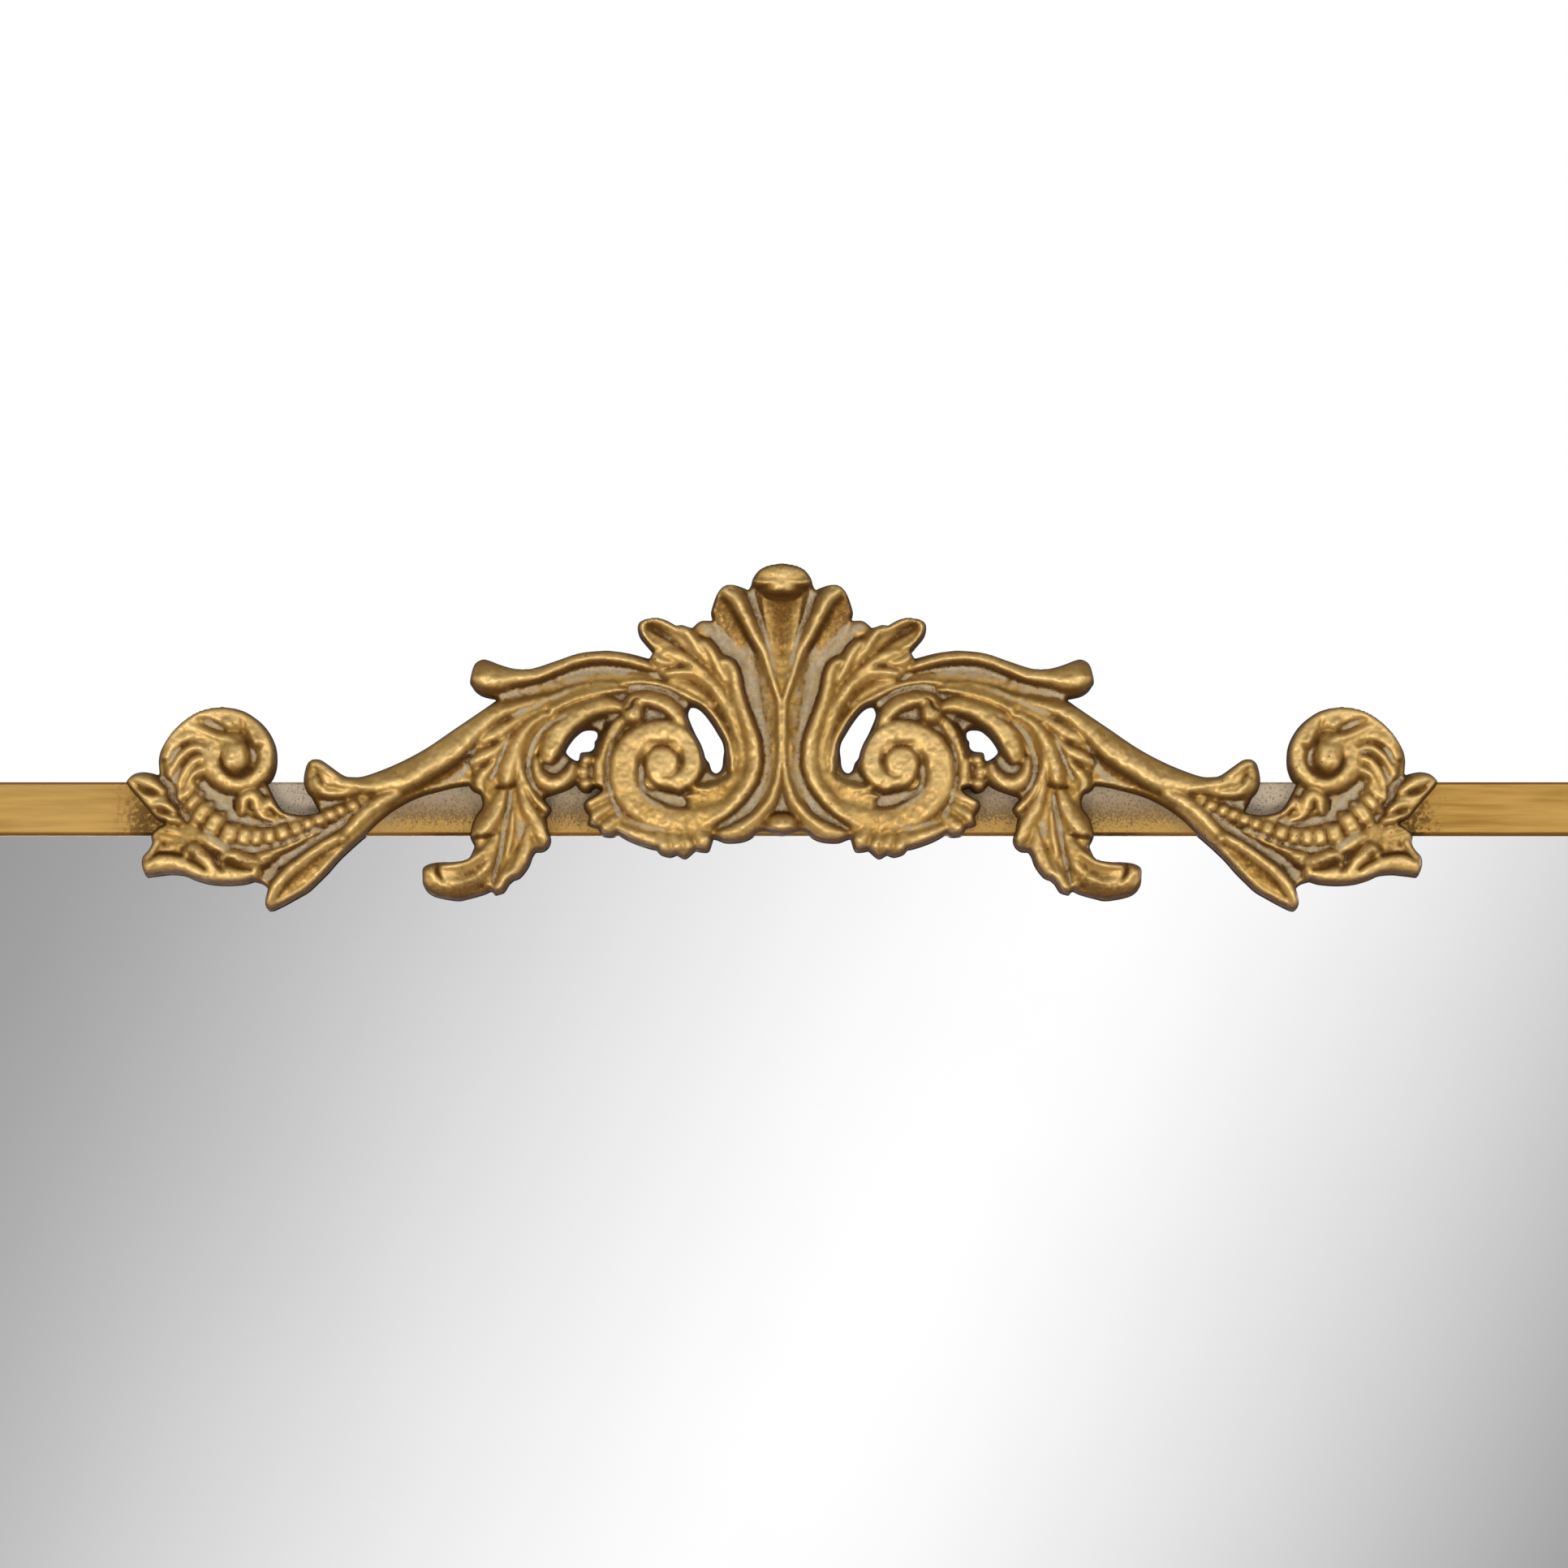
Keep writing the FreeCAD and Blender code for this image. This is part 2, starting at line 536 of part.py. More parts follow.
members = []
washers = []
for side_name, sign in (("left", "-"), ("right", "")):
    centre = f"{sign}{leg_side}"
    hinge_bracket(f"hinge_bracket_{side_name}", centre)
    screw_x = f"{sign}(frame_wide / 2 - tube_wide / 2)"
    for way_name, way in (("upper", "+"), ("lower", "-")):
        place = inside(x=screw_x, y="frame_deep + bracket_metal", z=f"pin_high {way} bracket_screw", turn=into_front)
        members.append(screw(f"hinge_screw_{side_name}_{way_name}", "screw_head", "screw_cap", "screw_round",
                             "bracket_bolt", place))
    # The pin's shank runs along +X, with a head at its start and a peened tail
    pin_turn = turned(0, 1, 0, 90)
    pin_place = placed(x=f"{centre} - {hinge_outer} / 2", y=pin_deep, z="pin_high", turn=pin_turn)
    revolved(f"hinge_pin_{side_name}", pin_place, [
        ("0", "-pin_cap"),
        ("pin_head", "-pin_cap"),
        ("pin_head", "0"),
        ("pin_round", "0"),
        ("pin_round", hinge_outer),
        ("(pin_head + pin_round) / 2", hinge_outer),
        ("(pin_head + pin_round) / 2", f"{hinge_outer} + pin_cap / 2"),
        ("pin_round", f"{hinge_outer} + pin_cap"),
        ("0", f"{hinge_outer} + pin_cap"),
    ])
    for way_name, start in (("outer", f"{centre} - {hinge_gap} / 2"),
                            ("inner", f"{centre} + {hinge_gap} / 2 - washer_thick")):
        ring = primitive("Part::Cylinder", f"washer_ring_{side_name}_{way_name}",
                         {"Radius": "washer_round", "Height": "washer_thick"})
        bore = primitive("Part::Cylinder", f"washer_bore_{side_name}_{way_name}",
                         {"Radius": "pin_round + pin_play", "Height": "washer_thick + 2 * cut_overrun"},
                         inside(z="-cut_overrun"))
        washers.append(combine("Part::Cut", f"washer_{side_name}_{way_name}", ring, bore,
                               inside(x=start, y=pin_deep, z="pin_high", turn=pin_turn)))
group("hinge_screws", members, placed())
group("hinge_washers", washers, placed())

# Stand: one tube bent to a U, drilled for the pins at both tops; its own frame has the pin line at zero
stand_place = f"placement(vector(0; {front_edge} + {pin_back}; {pin_up}); rotation(vector(1; 0; 0); leg_angle))"
tube_top = f"({leg_top} - end_cap)"
stand = new_body("stand_frame", stand_place)
spine = sketch_on(stand, "spine", "XZ_Plane")
side_x = number(leg_side)
top_z = number(tube_top)
base_z = -number(leg_long)
bend = number("leg_bend")
flat = FreeCAD.Vector(0, 0, 1)
left_down = spine.addGeometry(Part.LineSegment(
    FreeCAD.Vector(-side_x, top_z, 0), FreeCAD.Vector(-side_x, base_z + bend, 0)), False)
left_bend = spine.addGeometry(Part.ArcOfCircle(
    Part.Circle(FreeCAD.Vector(bend - side_x, base_z + bend, 0), flat, bend), math.pi, 1.5 * math.pi), False)
across = spine.addGeometry(Part.LineSegment(
    FreeCAD.Vector(bend - side_x, base_z, 0), FreeCAD.Vector(side_x - bend, base_z, 0)), False)
right_bend = spine.addGeometry(Part.ArcOfCircle(
    Part.Circle(FreeCAD.Vector(side_x - bend, base_z + bend, 0), flat, bend), 1.5 * math.pi, 2 * math.pi), False)
right_up = spine.addGeometry(Part.LineSegment(
    FreeCAD.Vector(side_x, base_z + bend, 0), FreeCAD.Vector(side_x, top_z, 0)), False)
for first, first_end, second, second_end in ((left_down, 2, left_bend, 1), (left_bend, 2, across, 1),
                                             (across, 2, right_bend, 1), (right_bend, 2, right_up, 1)):
    spine.addConstraint(Sketcher.Constraint("Tangent", first, first_end, second, second_end))
spine.addConstraint(Sketcher.Constraint("Vertical", left_down))
spine.addConstraint(Sketcher.Constraint("Horizontal", across))
spine.addConstraint(Sketcher.Constraint("Vertical", right_up))
bind_point(spine, left_down, 1, f"-{leg_side}", tube_top)
bind_point(spine, right_up, 2, leg_side, tube_top)
held = spine.addConstraint(Sketcher.Constraint("DistanceY", -1, 1, across, 1, base_z))
spine.setExpression(f"Constraints[{held}]", bind(f"-{leg_long}"))
for arc in (left_bend, right_bend):
    held = spine.addConstraint(Sketcher.Constraint("Radius", arc, bend))
    spine.setExpression(f"Constraints[{held}]", bind("leg_bend"))
ring = sketch_on(stand, "ring", "XY_Plane", tube_top)
draw_circle(ring, f"-{leg_side}", "0", "leg_round")
draw_circle(ring, f"-{leg_side}", "0", "leg_round - leg_wall")
doc.recompute()
tube = stand.newObject("PartDesign::AdditivePipe", "stand_tube")
tube.Profile = ring
tube.Spine = (spine, [f"Edge{index + 1}" for index in range(5)])
tube.Transition = "Right corner"
spine.Visibility = False
ring.Visibility = False
stand_bore = "pin_round + leg_play"
drill(stand, "pin_holes", "YZ_Plane", "0", "frame_wide / 2", stand_bore, [("0", "0")])

# Plugs in the open tops of the stand, rubber sleeves where its base meets the floor
cap_edge = "(leg_round - end_bevel)"
for side_name, sign in (("left", "-"), ("right", "")):
    plug_place = f"{stand_place} * {inside(x=f'{sign}{leg_side}', z=tube_top)}"
    revolved(f"stand_plug_{side_name}", plug_place, [
        ("0", "-end_stem"),
        ("leg_round - leg_wall - plug_play", "-end_stem"),
        ("leg_round - leg_wall - plug_play", "0"),
        ("leg_round", "0"),
        ("leg_round", "end_cap - end_bevel"),
        (cap_edge, "end_cap"),
        ("0", "end_cap"),
    ])
    sleeve_x = f"{sign}sleeve_apart / 2"
    sleeve_place = f"{stand_place} * {inside(x=sleeve_x, z=f'-{leg_long}')}"
    sleeve = new_body(f"stand_sleeve_{side_name}", sleeve_place)
    end = sketch_on(sleeve, "end", "YZ_Plane")
    draw_circle(end, "0", "0", "sleeve_round")
    draw_circle(end, "0", "0", "leg_round + sleeve_play")
    pad(sleeve, "length", end, "sleeve_long", both_ways=True)


# Floor feet: rubber wedges under the bottom bar, level with the floor, and their screws
def floor_level(depth):
    """Height of the floor in the leaning frame at a depth."""
    return f"(({depth}) * sin(lean_angle) - {lift}) / cos(lean_angle)"


members = []
for side_name, sign in (("left", "-"), ("right", "")):
    foot_x = f"{sign}foot_apart / 2"
    foot = new_body(f"floor_foot_{side_name}", placed(x=foot_x))
    wedge = sketch_on(foot, "wedge", "YZ_Plane")
    rear = "frame_deep - foot_inset"
    draw_polygon(wedge, [("foot_inset", "0"), (rear, "0"), (rear, floor_level(rear)),
                         ("foot_inset", floor_level("foot_inset"))])
    pad(foot, "length", wedge, "foot_long", both_ways=True)
    drill(foot, "bore", "XY_Plane", "0", "foot_sink + cut_overrun", bore_round, [("0", "frame_deep / 2")])
    well = sketch_on(foot, "well_sketch", "XY_Plane", "-foot_sink - frame_deep")
    draw_circle(well, "0", "frame_deep / 2", "foot_well")
    pocket(foot, "well", well, "2 * frame_deep")
    place = inside(x=foot_x, y="frame_deep / 2", z="-foot_sink")
    members.append(screw(f"foot_screw_{side_name}", "screw_head", "screw_cap", "screw_round", "foot_bolt", place))
group("foot_screws", members, placed())

# Strap bracket: a bent angle behind the top bar whose tab takes a wall strap
strap = new_body("strap_bracket", placed(y="frame_deep", z=screw_high))
base = sketch_on(strap, "base", "XZ_Plane")
draw_rectangle(base, "-strap_wide / 2", "strap_wide / 2", "-strap_base / 2", "strap_base / 2")
pad(strap, "plate", base, "strap_metal", backwards=True)
tab = sketch_on(strap, "tab", "XY_Plane", "-strap_base / 2")
draw_rectangle(tab, "-strap_tab / 2", "strap_tab / 2", "strap_metal / 2", "strap_reach")
pad(strap, "tab_plate", tab, "strap_metal")
strap_depth = "2 * strap_metal"
drill(strap, "strap_eye", "XY_Plane", "-strap_base / 2", strap_depth, "strap_hole", [("0", "strap_reach - strap_edge")])
strap_spots = [("strap_screw", "0"), ("-strap_screw", "0")]
drill(strap, "screw_holes", "XZ_Plane", "0", "strap_metal + cut_overrun", bore_round, strap_spots)
members = []
for name, x in (("left", "-strap_screw"), ("right", "strap_screw")):
    place = inside(x=x, y="frame_deep + strap_metal", z=screw_high, turn=into_front)
    members.append(screw(f"strap_screw_{name}", "screw_head", "screw_cap", "screw_round", "strap_bolt", place))
group("strap_bracket_screws", members, placed())

# Wall bumpers: rubber buttons pushed into the back of the top bar
for side_name, sign in (("left", "-"), ("right", "")):
    bumper_place = placed(x=f"{sign}bumper_apart / 2", y="frame_deep", z=screw_high, turn=turned(1, 0, 0, -90))
    revolved(f"wall_bumper_{side_name}", bumper_place, [
        ("0", "-bumper_root"),
        ("bumper_stem", "-bumper_root"),
        ("bumper_stem", "0"),
        ("bumper_round", "0"),
        ("bumper_round", "bumper_thick - bumper_bevel"),
        ("bumper_round - bumper_bevel", "bumper_thick"),
        ("0", "bumper_thick"),
    ])
doc.recompute()

# Crest: one casting with a flat back, drawn as its left half and mirrored about the middle.
# Points are pixels of the reference view; the crest's width in millimetres gives them their scale.
middle_px = 963.5
bar_top_px = 964
crest_left_px = 156.4
crest_scale = number("crest_wide") / (2 * (middle_px - crest_left_px))
crest_web = number("crest_web")
crest_ground = number("crest_ground")
crest_low = number("crest_low")
crest_band = number("crest_band")
crest_mid = number("crest_mid")
crest_high = number("crest_high")
crest_peak = number("crest_peak")
backwards = FreeCAD.Vector(0, -1, 0)

# Outer edge of the left half, from the top of the middle round to its foot; a stretch ends at each notch
outline_px = [
    [(963.5, 695), (945, 698), (928, 712), (922, 727)],
    [(922, 727), (905, 721), (888, 726), (878, 745), (878, 766)],
    [(878, 766), (865, 765), (853, 774)],
    [(853, 774), (833, 771)],
    [(833, 771), (808, 761.6), (790, 766), (788, 785), (804, 805)],
    [(804, 805), (800, 812)],
    [(800, 812), (743.6, 802), (700, 808.7), (660, 823), (618, 820), (596.4, 812.7), (580.4, 829),
     (587, 853.6), (612.7, 862.7)],
    [(612.7, 862.7), (560, 899), (505.5, 933.6), (440, 957.8), (413.6, 950), (388, 936), (375, 952.7),
     (384.5, 982)],
    [(384.5, 982), (390, 1003)],
    [(390, 1003), (370, 1005), (350, 1000), (338, 986), (334, 965)],
    [(334, 965), (342, 934.5), (324.5, 893.6), (272, 872), (226, 890), (198, 927), (197, 957)],
    [(197, 957), (175.5, 952), (156.4, 965.5), (184.5, 1000), (205, 1016)],
    [(205, 1016), (187, 1032)],
    [(187, 1032), (175.5, 1064), (181, 1081)],
    [(181, 1081), (220, 1078), (280, 1091), (331, 1095.5)],
    [(331, 1095.5), (328, 1116), (337, 1122), (380, 1099), (419, 1059), (452, 1029)],
    [(452, 1029), (480, 1004), (510, 986), (545, 975), (578, 969)],
    [(578, 969), (590, 981)],
    [(590, 981), (594.5, 988), (582.7, 1014.5), (584.5, 1044)],
    [(584.5, 1044), (577, 1059), (545, 1063), (521, 1070), (523, 1093.6), (562.6, 1109.5), (604.5, 1098)],
    [(604.5, 1098), (620, 1100), (634, 1083), (652.7, 1065.5), (660, 1050)],
    [(660, 1050), (677, 1042), (673.6, 1009), (680, 997)],
    [(680, 997), (676, 985), (690, 977), (712, 976), (728, 984)],
    [(728, 984), (719, 993), (726, 1006)],
    [(726, 1006), (726, 1018), (737, 1024), (748, 1031), (761, 1028)],
    [(761, 1028), (790, 1042), (809, 1047)],
    [(809, 1047), (826, 1056), (843, 1058), (857, 1048)],
    [(857, 1048), (872, 1049.6), (879, 1033)],
    [(879, 1033), (902, 1038.5), (932, 1027)],
    [(932, 1027), (945, 1025), (963.5, 1029.6)],
]
# Openings right through the casting
upper_gap_px = [(850, 874), (868, 881), (886, 906), (892, 927), (884, 952), (871, 937), (860, 912)]
lower_gap_px = [(698, 926), (713, 905), (733, 901), (733, 921), (715, 929), (710, 937)]
# Raised leaves and branches as closed outlines, each with the height that it stands to
raised_px = [
    (crest_high, [(785, 776), (808, 763), (842, 772), (862, 790), (886, 815), (906, 822), (920, 865), (938, 905),
                  (938, 955), (915, 994), (879, 1019), (862, 1014), (900, 975), (910, 935), (898, 895),
                  (868, 858), (828, 838), (804, 818)]),
    (crest_mid, [(877, 750), (888, 727), (906, 722), (921, 735), (938, 780), (956, 830), (960, 875),
                 (946, 930), (925, 870), (896, 800)]),
    (crest_low, [(590, 850), (583, 832), (600, 815), (650, 827), (740, 804), (802, 814), (840, 850), (870, 876),
                 (850, 872), (770, 868), (700, 872), (640, 862)]),
    (crest_mid, [(615, 865), (560, 901), (505, 935), (440, 960), (405, 945), (385, 939), (377, 958), (388, 982),
                 (434, 984), (482, 990), (550, 950), (577, 922), (640, 900), (690, 872), (650, 862)]),
    (crest_mid, [(598, 910), (588, 932), (592, 962), (588, 1010), (588, 1040), (575, 1062), (540, 1066), (524, 1074),
                 (527, 1096), (562, 1106), (600, 1096), (628, 1080), (652, 1050), (674, 1034), (668, 1000),
                 (650, 965), (650, 930), (680, 890), (640, 888)]),
    (crest_low, [(160, 966), (177, 955), (200, 968), (222, 1012), (205, 1012), (184, 996)]),
    (crest_mid, [(200, 950), (202, 925), (230, 891), (272, 875), (322, 895), (338, 935), (330, 964), (295, 976),
                 (235, 972)]),
    (crest_low, [(192, 1034), (181, 1062), (186, 1076), (222, 1074), (282, 1087), (330, 1090), (350, 1062),
                 (380, 1034), (330, 1018), (262, 1022)]),
    (crest_low, [(334, 1096), (332, 1117), (378, 1095), (416, 1057), (446, 1027), (425, 1010), (380, 1030),
                 (350, 1066)]),
    (crest_low, [(750, 962), (748, 915), (762, 852), (812, 846), (860, 858), (893, 890), (905, 930), (912, 975),
                 (880, 1018), (848, 1030), (808, 1028), (772, 1012)]),
    (crest_low, [(740, 978), (726, 990), (732, 1012), (756, 1027), (812, 1046), (842, 1053), (870, 1045),
                 (876, 1022), (820, 1000), (760, 960)]),
]
# Rounded ridges: height of the middle line, radius in pixels, points
ridges_px = [
    (crest_band, 13, [(903, 996), (878, 1011), (848, 1019), (818, 1015), (790, 1003), (770, 982), (764, 955),
                      (771, 926), (790, 905), (818, 898)]),
    (crest_ground, 6, [(742, 965), (740, 940), (748, 915), (764, 893)]),
    (crest_low, 9, [(598, 836), (632, 835), (668, 829), (706, 815), (744, 810), (780, 814), (802, 822)]),
    (crest_mid, 7, [(676, 866), (638, 883), (604, 901), (572, 922), (540, 948), (496, 966), (452, 973),
                    (408, 966), (394, 955)]),
    (crest_low, 11, [(754, 871), (716, 878), (690, 897), (672, 925), (665, 950), (681, 967), (699, 950)]),
    (crest_mid, 8, [(672, 893), (646, 914), (634, 940), (632, 964)]),
    (crest_mid, 8, [(616, 984), (602, 1006), (592, 1026)]),
    (crest_mid, 7, [(614, 1040), (590, 1058), (560, 1078), (536, 1078)]),
    (crest_mid, 6, [(650, 982), (657, 1010), (666, 1032)]),
    (crest_mid, 6, [(638, 990), (640, 1030), (634, 1068)]),
    (crest_high, 6, [(800, 777), (828, 788), (856, 812), (884, 840), (908, 875), (922, 915)]),
    (crest_low, 6, [(770, 850), (812, 851), (846, 865), (872, 890), (884, 912)]),
    (crest_ground, 8, [(960, 965), (954, 990), (938, 1012), (914, 1024), (890, 1028)]),
    (crest_mid, 7, [(214, 956), (222, 925), (248, 898), (284, 888), (314, 905), (326, 935), (314, 960), (284, 966)]),
    (crest_low, 6, [(340, 1106), (352, 1084), (382, 1053), (414, 1030), (430, 1016)]),
    (crest_low, 6, [(188, 1066), (212, 1060), (240, 1070), (280, 1082)]),
    (crest_ground, 6, [(306, 988), (322, 1004), (348, 1012)]),
]
# Beads, balls and knobs: height of the middle, radius in pixels, place
balls_px = [
    (crest_ground, 8, (232, 978)),
    (crest_ground, 9, (240, 993)),
    (crest_ground, 9, (252, 1005)),
    (crest_ground, 9, (267, 1017)),
    (crest_ground, 9, (285, 1028)),
    (crest_ground, 9, (302, 1032)),
    (crest_ground, 9, (318, 1033)),
    (crest_ground, 9, (334, 1032)),
    (crest_ground, 8, (350, 1027)),
    (crest_ground, 8, (366, 1022)),
    (crest_ground, 8, (381, 1017)),
    (crest_ground, 7, (395, 1012)),
    (crest_ground, 7, (409, 1006)),
    (crest_ground, 7, (423, 1002)),
    (crest_ground, 7, (437, 996)),
    (crest_mid, 16, (292, 938)),
    (crest_low, 15, (597, 836)),
    (crest_mid, 13, (781, 882)),
    (crest_mid, 15, (393, 960)),
]
disc_px = (828, 939)
disc_radius_px = 37
disc_button_px = 14


def crest_spot(spot, height=0):
    """A pixel's place on the crest, at a height above its flat back."""
    x, y = spot
    return FreeCAD.Vector((x - middle_px) * crest_scale, -height, (bar_top_px - y) * crest_scale)


def curve_through(spots, closed=False):
    """A smooth edge through pixels, or a straight one between two."""
    places = [crest_spot(spot) for spot in spots]
    if len(places) == 2:
        return Part.makeLine(*places)
    curve = Part.BSplineCurve()
    curve.interpolate(Points=places, PeriodicFlag=closed)
    return curve.toShape()


def raised_slab(wire, height):
    """Raise a flat outline to a height above the back."""
    return Part.Face(wire).extrude(backwards * height)


def ridge(spots, radius, height):
    """A round ridge of straight runs and tangent arcs, closed by a ball at each end."""
    places = [crest_spot(spot, height) for spot in spots]
    edges = []
    start = places[0]
    run_share = 0.45
    for before, corner, after in zip(places, places[1:], places[2:]):
        back = (before - corner).normalize()
        ahead = (after - corner).normalize()
        reach = run_share * min((before - corner).Length, (after - corner).Length)
        enter = corner + back * reach
        leave = corner + ahead * reach
        half_angle = back.getAngle(ahead) / 2
        inward = (back + ahead).normalize()
        arc_radius = reach * math.tan(half_angle)
        centre = corner + inward * (reach / math.cos(half_angle))
        edges.append(Part.makeLine(start, enter))
        edges.append(Part.Arc(enter, centre - inward * arc_radius, leave).toShape())
        start = leave
    edges.append(Part.makeLine(start, places[-1]))
    along = (places[1] - places[0]).normalize()
    section = Part.Wire([Part.makeCircle(radius, places[0], along)])
    tube = Part.Wire(edges).makePipeShell([section], True, False)
    return tube.multiFuse([Part.makeSphere(radius, places[0]), Part.makeSphere(radius, places[-1])])


def mirrored(shape):
    """The same shape on the other side of the middle."""
    return shape.mirror(FreeCAD.Vector(0, 0, 0), FreeCAD.Vector(1, 0, 0))


half_edges = [curve_through(stretch) for stretch in outline_px]
top_px = outline_px[0][0]
foot_px = outline_px[-1][-1]
half_edges.append(Part.makeLine(crest_spot(foot_px), crest_spot(top_px)))
half = raised_slab(Part.Wire(half_edges), crest_web)
pieces = [raised_slab(Part.Wire([curve_through(outline, closed=True)]), height) for height, outline in raised_px]
pieces += [ridge(spots, radius * crest_scale, height) for height, radius, spots in ridges_px]
pieces += [Part.makeSphere(radius * crest_scale, crest_spot(spot, height)) for height, radius, spot in balls_px]
pieces.append(Part.makeCylinder(disc_radius_px * crest_scale, crest_high, crest_spot(disc_px), backwards))
pieces.append(Part.makeSphere(disc_button_px * crest_scale, crest_spot(disc_px, crest_high)))
whole = half.fuse(mirrored(half))
pieces += [mirrored(piece) for piece in pieces]
# The middle leaf stands to the same height as the volutes, and a roll crowns it
palm_px = [(930, 712), (963.5, 702), (997, 712), (1000, 728), (990, 780), (975, 840), (963.5, 885), (952, 840),
           (937, 780), (927, 728)]
roll_px = (944, 983, 708)
roll_radius_px = 10
roll_round = roll_radius_px * crest_scale
roll_left, roll_right, roll_high = roll_px
roll_start = crest_spot((roll_left, roll_high), crest_peak - roll_round)
roll_end = crest_spot((roll_right, roll_high), crest_peak - roll_round)
pieces.append(raised_slab(Part.Wire([curve_through(palm_px, closed=True)]), crest_high))
pieces.append(Part.makeCylinder(roll_round, (roll_end - roll_start).Length, roll_start, roll_end - roll_start))
pieces += [Part.makeSphere(roll_round, roll_start), Part.makeSphere(roll_round, roll_end)]
bead_px = (963.5, 1017)
bead_radius_px = 12
pieces.append(Part.makeSphere(bead_radius_px * crest_scale, crest_spot(bead_px, crest_low)))
casting = whole.multiFuse(pieces)
# Openings right through, and blind holes in the back for the screws
overrun = number("cut_overrun")
gap_deep = crest_peak + overrun
for gap_px in (upper_gap_px, lower_gap_px):
    opening = raised_slab(Part.Wire([curve_through(gap_px, closed=True)]), gap_deep + overrun)
    opening.translate(-backwards * overrun)
    casting = casting.cut([opening, mirrored(opening)])
for screw_at in crest_screws_at:
    start = FreeCAD.Vector(number(screw_at), overrun, -number("tube_wide / 2"))
    pilot = Part.makeCylinder(number(bore_round), number("crest_pilot") + overrun, start, backwards)
    casting = casting.cut(pilot)
crest = doc.addObject("Part::Feature", "crest")
crest.Label = "crest"
crest.Shape = casting
crest.setExpression("Placement", bind(placed(z="frame_tall")))
doc.recompute()

# Every object must have been built, and every piece must be sound, before anything is written
for item in doc.Objects:
    if "Invalid" in item.State or "Error" in item.State:
        raise RuntimeError(f"{item.Label} was not built: {item.State}")
    if item.TypeId == "PartDesign::Pocket" and item.BaseFeature.Shape.Volume <= item.Shape.Volume:
        raise RuntimeError(f"{item.Label} cuts nothing")
piece_types = ("PartDesign::Body", "Part::Compound")
single_pieces = {"mirror_glass", "foam_liner", "backing_board", "glass_gasket", "crest"}
for item in doc.Objects:
    if item.TypeId not in piece_types and item.Label not in single_pieces:
        continue
    if item.Shape.isNull() or not item.Shape.isValid():
        raise RuntimeError(f"{item.Label} is not a sound solid")
    item.Shape.exportStep(f"parts/{item.Label}.step")
    print(f"{item.Label}: {len(item.Shape.Solids)} solids, {item.Shape.Volume:.0f} mm3")
box = crest.Shape.BoundBox
print(f"crest {box.XLength:.1f} wide, leg {number(leg_long):.1f} long, leg top {number(leg_top):.1f}, "
      f"rear reach {number(rear_reach):.1f}")
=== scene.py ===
import math

import bmesh
import bpy
import numpy as np
from mathutils import Matrix, Vector
from mathutils.geometry import delaunay_2d_cdt


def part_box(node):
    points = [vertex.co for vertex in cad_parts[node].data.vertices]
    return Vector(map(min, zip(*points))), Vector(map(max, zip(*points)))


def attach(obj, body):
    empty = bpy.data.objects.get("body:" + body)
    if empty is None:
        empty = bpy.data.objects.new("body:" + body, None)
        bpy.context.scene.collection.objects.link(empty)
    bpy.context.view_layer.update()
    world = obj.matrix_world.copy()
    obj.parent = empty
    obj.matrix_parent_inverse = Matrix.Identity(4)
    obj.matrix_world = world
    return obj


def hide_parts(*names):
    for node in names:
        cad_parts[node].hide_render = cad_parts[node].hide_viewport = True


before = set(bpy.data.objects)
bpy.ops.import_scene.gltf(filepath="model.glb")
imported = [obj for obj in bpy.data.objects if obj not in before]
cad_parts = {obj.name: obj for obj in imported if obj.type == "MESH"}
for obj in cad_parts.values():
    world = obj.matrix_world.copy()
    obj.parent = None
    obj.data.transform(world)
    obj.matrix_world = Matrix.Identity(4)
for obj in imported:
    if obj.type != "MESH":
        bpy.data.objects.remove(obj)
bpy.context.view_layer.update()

mm = 0.001

# Four frame bars
# Square aluminium tube with a glazing rebate, wrapped in brushed gold leaf under a thin lacquer.
# Behind the crest the gilder's grey wash was left on, and brown patina gathers beside its ends.
lean = math.radians(9)
bar_face = 20 * mm
frame_wide = 711 * mm
frame_tall = 1702 * mm
wash_reach = 226 * mm
wash_change = 172 * mm
patina_middle = 236 * mm
patina_spread = 20 * mm
bevel_line = 1.1 * mm
wash_fade = 12 * mm
stroke_depth = 0.2 * mm
dent_depth = 0.3 * mm


def shade(red, green, blue):
    """A colour as the eye reads it, 0 to 255, in the linear values that shaders take."""
    linear = []
    for level in (red, green, blue):
        share = level / 255
        linear.append(share / 12.92 if share <= 0.04045 else ((share + 0.055) / 1.055) ** 2.4)
    return (*linear, 1)


def new_finish(name):
    """A fresh material with its node tree and its main shader."""
    finish = bpy.data.materials.new(name)
    finish.use_nodes = True
    return finish, finish.node_tree, finish.node_tree.nodes["Principled BSDF"]


def add(tree, kind, sockets=(), **settings):
    """One shader node. Each socket gets a value, or a link where the value is another node's output."""
    node = tree.nodes.new("ShaderNode" + kind)
    for name, value in settings.items():
        setattr(node, name, value)
    for name, value in dict(sockets).items():
        if isinstance(value, bpy.types.NodeSocket):
            tree.links.new(value, node.inputs[name])
        else:
            node.inputs[name].default_value = value
    return node


def figure(tree, operation, first, second=0.0, third=0.0):
    """One sum on numbers or outputs."""
    sockets = {0: first, 1: second, 2: third}
    return add(tree, "Math", sockets, operation=operation).outputs[0]


def between(tree, value, low, high, start=0.0, end=1.0):
    """A smooth step of a value from low to high, running from start to end."""
    sockets = {"Value": value, "From Min": low, "From Max": high, "To Min": start, "To Max": end}
    return add(tree, "MapRange", sockets, interpolation_type="SMOOTHSTEP").outputs[0]


